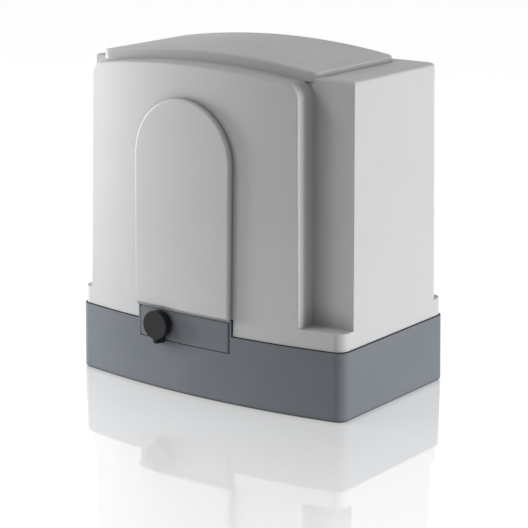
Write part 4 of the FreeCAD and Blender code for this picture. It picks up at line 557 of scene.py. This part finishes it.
# Small generic parts on the control board; the solids carry its terminals, relays and fuse
def boardParts():
    look = {  # millimetres, across, up and out from the board
        "capacitors": ((-121, 262), (-105, 262), (-44, 262)), "canTop": 11.9,
        "can": ((4.7, 0), (5, 0.4), (5, 1.2), (4.7, 1.8), (5, 2.4), (5, 11.5), (4.6, 12)),
        "canLid": ((3.8, 0), (3.8, 0.3)),
        "chips": (((-94, 238), (-80, 252)), ((-70, 240), (-56, 248))), "chipOut": (0.4, 2.4),
        "pin": 0.28, "pinStep": 1.6, "pinReach": 1.4, "pinHold": 0.1, "pinOut": 0.9,
        "trimmers": 4, "trimmerStart": (-122, 184), "trimmerStep": 10.0, "trimmerSize": 7.0,
        "trimmerOut": 4.6, "knob": ((2.6, 0), (2.6, 0.6), (2.2, 0.9)), "knobFoot": 4.5,
        "slot": 0.4, "slotInset": 1.4, "slotOut": (5.3, 5.5),
        "switches": ((-76, 184), (-54, 193)), "switchCount": 8, "switchInset": 1.6,
        "switchOut": 5.0, "slider": (0.7, 2.2), "sliderLow": 2.2, "sliderHigh": 4.6,
        "sliderOut": (4.9, 5.8),
        "lamps": 5, "lampStart": (-46, 240), "lampStep": 2.9, "lampSides": 16,
        "lamp": ((1.5, 0), (1.5, 2.8), (1.1, 3.8), (0.4, 4.2)),
        "resistors": 9, "resistorStart": (-122, 234), "resistorStep": 3.4,
        "resistorSize": (1.8, 3.4), "resistorOut": 0.8, "endOut": 0.7, "endReach": 0.6,
        "endHold": 0.2, "chipEdge": 0.0002, "boxEdge": 0.0003, "smallEdge": 0.0001}
    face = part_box("control_board")[0].y
    black, white, blue, metal = (bmesh.new() for _ in range(4))

    def spot(x, z, out=0.0):
        return Vector((x / 1000, face - out / 1000, z / 1000))

    def turned(mesh, profile, foot, sides=32):
        addTurned(mesh, [(radius / 1000, height / 1000) for radius, height in profile], foot,
                  "Y", sides)

    for x, z in look["capacitors"]:
        turned(black, look["can"], spot(x, z))
        turned(metal, look["canLid"], spot(x, z, look["canTop"]))
    for (left, under), (right, over) in look["chips"]:
        addBlock(black, spot(left, under, look["chipOut"][1]), spot(right, over, look["chipOut"][0]),
                 look["chipEdge"])
        pins = int((right - left) / look["pinStep"])
        for pin in range(pins):
            x = left + (pin + 0.5) * (right - left) / pins
            for start, end in ((under - look["pinReach"], under + look["pinHold"]),
                               (over - look["pinHold"], over + look["pinReach"])):
                addBlock(metal, spot(x - look["pin"], start, look["pinOut"]),
                         spot(x + look["pin"], end))
    size = look["trimmerSize"]
    for number in range(look["trimmers"]):
        x, z = look["trimmerStart"][0] + number * look["trimmerStep"], look["trimmerStart"][1]
        middle = z + size / 2
        addBlock(blue, spot(x, z, look["trimmerOut"]), spot(x + size, z + size), look["boxEdge"])
        turned(white, look["knob"], spot(x + size / 2, middle, look["knobFoot"]))
        addBlock(black, spot(x + look["slotInset"], middle - look["slot"], look["slotOut"][1]),
                 spot(x + size - look["slotInset"], middle + look["slot"], look["slotOut"][0]))
    (left, under), (right, over) = look["switches"]
    addBlock(blue, spot(left, under, look["switchOut"]), spot(right, over), look["boxEdge"])
    half, tall = look["slider"]
    room = right - left - 2 * look["switchInset"]
    for number in range(look["switchCount"]):
        x = left + look["switchInset"] + number * room / (look["switchCount"] - 1)
        level = under + (look["sliderLow"] if number % 3 else look["sliderHigh"])
        addBlock(white, spot(x - half, level, look["sliderOut"][1]),
                 spot(x + half, level + tall, look["sliderOut"][0]), look["smallEdge"])
    for number in range(look["lamps"]):
        x, z = look["lampStart"]
        turned(white, look["lamp"], spot(x + look["lampStep"] * number, z), look["lampSides"])
    wide, tall = look["resistorSize"]
    for number in range(look["resistors"]):
        x, z = look["resistorStart"]
        x += look["resistorStep"] * number
        addBlock(black, spot(x, z, look["resistorOut"]), spot(x + wide, z + tall),
                 look["smallEdge"])
        for start, end in ((z - look["endReach"], z + look["endHold"]),
                           (z + tall - look["endHold"], z + tall + look["endReach"])):
            addBlock(metal, spot(x, start, look["endOut"]), spot(x + wide, end))
    finishPiece("boardBlackParts", black, "black_plastic", "base")
    finishPiece("boardWhiteParts", white, "white_plastic", "base")
    finishPiece("boardBlueParts", blue, "relay_plastic", "base")
    finishPiece("boardPins", metal, "bright_steel", "base")


# Clamp screws in the mouths of the terminal blocks
def terminalScrews():
    look = {"blocks": 4, "step": 0.0226, "first": 0.00295, "ways": 4, "way": 0.0047,
            "radius": 0.0016, "tall": 0.0003, "inset": 0.0055, "below": 0.0006, "sides": 20}
    low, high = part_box("terminal_blocks")
    mesh = bmesh.new()
    for block in range(look["blocks"]):
        for way in range(look["ways"]):
            x = low.x + look["step"] * block + look["first"] + look["way"] * way
            foot = Vector((x, low.y + look["inset"], high.z - look["below"]))
            addTurned(mesh, [(look["radius"], 0), (look["radius"], look["tall"])], foot, "Z",
                      look["sides"])
    finishPiece("terminalScrews", mesh, "zinc_steel", "base")


# The stepped lower edge of the raised front panel, over the release door; its cover plastic is painted
# darker, as painted shade under the panel's edge
def panelLip():
    look = {"bow": 0.797, "left": -0.0755, "right": 0.0405, "steps": 28, "inset": 0.00015,
            "section": ((0.0003, 0.0816), (0.0008, 0.0817), (0.0008, 0.08375),
                        (0.0005, 0.0839), (0.0005, 0.0844), (0.0003, 0.0844))}
    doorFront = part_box("release_door")[0].y

    def corner(x):  # a point of the bowed front, a little inside the door's own front
        bow = look["bow"] - math.sqrt(look["bow"] ** 2 - x * x)
        return Vector((x, doorFront - look["inset"] + bow, 0))

    mesh = bmesh.new()
    here = corner(look["left"])
    first = end = mesh.faces.new([mesh.verts.new(here + Vector((0, -out, level)))
                                  for out, level in look["section"]])
    for step in range(1, look["steps"] + 1):
        onward = corner(look["left"] + (look["right"] - look["left"]) * step / look["steps"])
        end = growFace(mesh, end, end == first)
        bmesh.ops.translate(mesh, verts=list(end.verts), vec=onward - here)
        here = onward
    finishPiece("panelLip", mesh, "cover_plastic", "cover", False, paintedShadeStrip)


# The raised front panel's outer skin, which stands a little prouder than the solid does
def frontPanelSkin():
    look = {"middle": -0.0175, "half": 0.0583, "foot": 0.0843, "shoulder": 0.2313,
            "bow": 0.797, "proud": 0.0016, "depth": 0.0066, "round": 0.0026, "steps": 6,
            "sides": 128, "column": 0.003, "samples": (0.100, 0.270), "outside": -0.3,
            "near": 1e-6, "flat": 0.999}
    middle, half, shoulder, near = (look[key] for key in ("middle", "half", "shoulder", "near"))
    levels = []
    for height in look["samples"]:
        found, place, _, _ = nodes["cover"].ray_cast(Vector((middle, look["outside"], height)),
                                                     Vector((0, 1, 0)))
        if not found:
            raise RuntimeError("no front wall under the panel")
        levels.append(place.y)
    lean = (levels[1] - levels[0]) / (look["samples"][1] - look["samples"][0])

    def sag(x):
        return look["bow"] - math.sqrt(look["bow"] ** 2 - x * x)

    # A flat round-topped plate, as a disc that loses its lower half and gains a foot
    mesh = bmesh.new()
    stand = Matrix.Translation((middle, 0, shoulder)) @ Matrix.Rotation(math.radians(90), 4, "X")
    bmesh.ops.create_circle(mesh, cap_ends=True, segments=look["sides"], radius=half,
                            matrix=stand)
    bmesh.ops.bisect_plane(mesh, geom=[*mesh.verts, *mesh.edges, *mesh.faces],
                           plane_co=(0, 0, shoulder), plane_no=(0, 0, -1), dist=near,
                           clear_outer=True)
    chord = [edge for edge in mesh.edges
             if all(abs(spot.co.z - shoulder) < near for spot in edge.verts)]
    grown = bmesh.ops.extrude_edge_only(mesh, edges=chord)["geom"]
    feet = [item for item in grown if isinstance(item, bmesh.types.BMVert)]
    bmesh.ops.translate(mesh, verts=feet, vec=(0, 0, look["foot"] - shoulder))
    bmesh.ops.dissolve_faces(mesh, faces=mesh.faces)
    back = growFace(mesh, next(iter(mesh.faces)), True)
    bmesh.ops.translate(mesh, verts=list(back.verts), vec=(0, look["depth"], 0))
    rim = [edge for edge in mesh.edges if all(spot.co.y < near for spot in edge.verts)]
    bmesh.ops.bevel(mesh, geom=rim, offset=look["round"], segments=look["steps"], profile=0.5,
                    affect="EDGES", material=-1)
    # Upright cuts, so that the plate can follow the bow of the front wall
    count = round(2 * half / look["column"])
    for number in range(1, count):
        bmesh.ops.bisect_plane(mesh, geom=[*mesh.verts, *mesh.edges, *mesh.faces],
                               plane_co=(middle - half + 2 * half * number / count, 0, 0),
                               plane_no=(1, 0, 0), dist=near)
    for face in mesh.faces:  # only the rounded rim and the sides are shaded smooth
        face.smooth = abs(face.normal.y) <= look["flat"]
    for spot in mesh.verts:
        wall = levels[0] + lean * (spot.co.z - look["samples"][0]) + sag(spot.co.x) - sag(middle)
        spot.co.y += wall - look["proud"]
    finishPiece("frontPanelSkin", mesh, "cover_plastic", "cover", None)


limitWire()
lockCapShell()
boardParts()
terminalScrews()
panelLip()
frontPanelSkin()
print("pieces made")


# Stage

studio = {
    "floorLevel": cadLow.z - 0.0002, "floorSize": 6.0, "floorShade": 0.42, "floorGlow": 0.86,
    "mirrorNear": 0.50, "mirrorFar": 0.03, "mirrorReach": 0.62, "mirrorRough": 0.03,
    "backdrop": 1.0, "ambient": 0.25,
    "camera": {"place": (1.1570, -1.5684, 0.6012), "down": 14.1023, "side": 36.3514,
               "lens": 137.95, "sensor": 36.0, "farthest": 50.0},
    "lamps": {
        "keyLamp": {"side": 70.5, "power": 8.6, "distance": 1.1, "size": (0.35, 0.45), "rise": 0.03},
        "sideLamp": {"side": -110, "power": 30.5, "distance": 2.2, "size": (0.5, 0.5), "rise": 0.06},
        "fillLamp": {"side": 44, "power": 19.0, "distance": 2.4, "size": (1.2, 1.2), "rise": 1.8}}}


def seenRays(tree):  # rays that show the studio, not those that light the object
    rays = addNode(tree, "LightPath").outputs
    return calc(tree, "MAXIMUM", rays["Is Camera Ray"],
                calc(tree, "MAXIMUM", rays["Is Glossy Ray"], rays["Is Transmission Ray"]))


def makeFloor():
    mesh = bmesh.new()
    bmesh.ops.create_grid(mesh, x_segments=1, y_segments=1, size=studio["floorSize"])
    data = bpy.data.meshes.new("studioFloor")
    mesh.to_mesh(data)
    mesh.free()
    floor = bpy.data.objects.new("studioFloor", data)
    bpy.context.collection.objects.link(floor)
    floor.location.z = studio["floorLevel"]
    mat, tree, shader = newMaterial("studioFloor")
    tree.nodes.remove(shader)
    pale = addNode(tree, "BsdfDiffuse")
    shade = studio["floorShade"]
    pale.inputs["Color"].default_value = (shade, shade, shade, 1)
    glow = addNode(tree, "Emission")
    feed(tree, calc(tree, "MULTIPLY", seenRays(tree), studio["floorGlow"]),
         glow.inputs["Strength"])
    lit = addNode(tree, "AddShader")
    tree.links.new(pale.outputs[0], lit.inputs[0])
    tree.links.new(glow.outputs[0], lit.inputs[1])
    gloss = addNode(tree, "BsdfGlossy")
    gloss.inputs["Roughness"].default_value = studio["mirrorRough"]
    gloss.inputs["Color"].default_value = (1, 1, 1, 1)
    # The polish fades with the distance from the object's foot
    parts = addNode(tree, "SeparateXYZ")
    feed(tree, addNode(tree, "TexCoord").outputs["Object"], parts.inputs[0])
    beyond = addNode(tree, "CombineXYZ")
    for axis, reach in (("X", cadHigh.x), ("Y", -cadLow.y)):
        outside = calc(tree, "SUBTRACT", calc(tree, "ABSOLUTE", parts.outputs[axis]), reach)
        feed(tree, calc(tree, "MAXIMUM", outside, 0.0), beyond.inputs[axis])
    length = addNode(tree, "VectorMath", operation="LENGTH")
    feed(tree, beyond.outputs[0], length.inputs[0])
    polish = spread(tree, length.outputs["Value"], 0.0, studio["mirrorReach"],
                    studio["mirrorNear"], studio["mirrorFar"])
    mixed = addNode(tree, "MixShader")
    feed(tree, polish, mixed.inputs[0])
    tree.links.new(lit.outputs[0], mixed.inputs[1])
    tree.links.new(gloss.outputs[0], mixed.inputs[2])
    tree.links.new(mixed.outputs[0], tree.nodes["Material Output"].inputs["Surface"])
    data.materials.append(mat)


def makeWorld():
    world = bpy.data.worlds.new("studioWorld")
    bpy.context.scene.world = world
    world.use_nodes = True
    tree = world.node_tree
    back = tree.nodes["Background"]
    back.inputs["Color"].default_value = (1, 1, 1, 1)
    feed(tree, spread(tree, seenRays(tree), 0.0, 1.0, studio["ambient"], studio["backdrop"]),
         back.inputs["Strength"])


def makeLamp(name, look):
    data = bpy.data.lights.new(name, "AREA")
    data.shape = "RECTANGLE"
    data.size, data.size_y = look["size"]
    data.energy = look["power"]
    lamp = bpy.data.objects.new(name, data)
    bpy.context.collection.objects.link(lamp)
    turn = math.radians(look["side"])
    middle = (cadLow + cadHigh) / 2
    away = Vector((-math.sin(turn), -math.cos(turn), 0)) * look["distance"]
    lamp.location = middle + away + Vector((0, 0, look["rise"]))
    lamp.rotation_euler = (middle - lamp.location).to_track_quat("-Z", "Y").to_euler()


def makeCamera(look):
    data = bpy.data.cameras.new("studioCamera")
    data.sensor_width = look["sensor"]
    data.lens = look["lens"]
    data.clip_end = look["farthest"]
    camera = bpy.data.objects.new("studioCamera", data)
    bpy.context.collection.objects.link(camera)
    camera.location = look["place"]
    camera.rotation_euler = (math.radians(90 - look["down"]), 0, math.radians(look["side"]))
    bpy.context.scene.camera = camera


makeFloor()
makeWorld()
for lampName, lampLook in studio["lamps"].items():
    makeLamp(lampName, lampLook)
makeCamera(studio["camera"])
bpy.context.scene.view_settings.view_transform = "Standard"
print("stage ready")
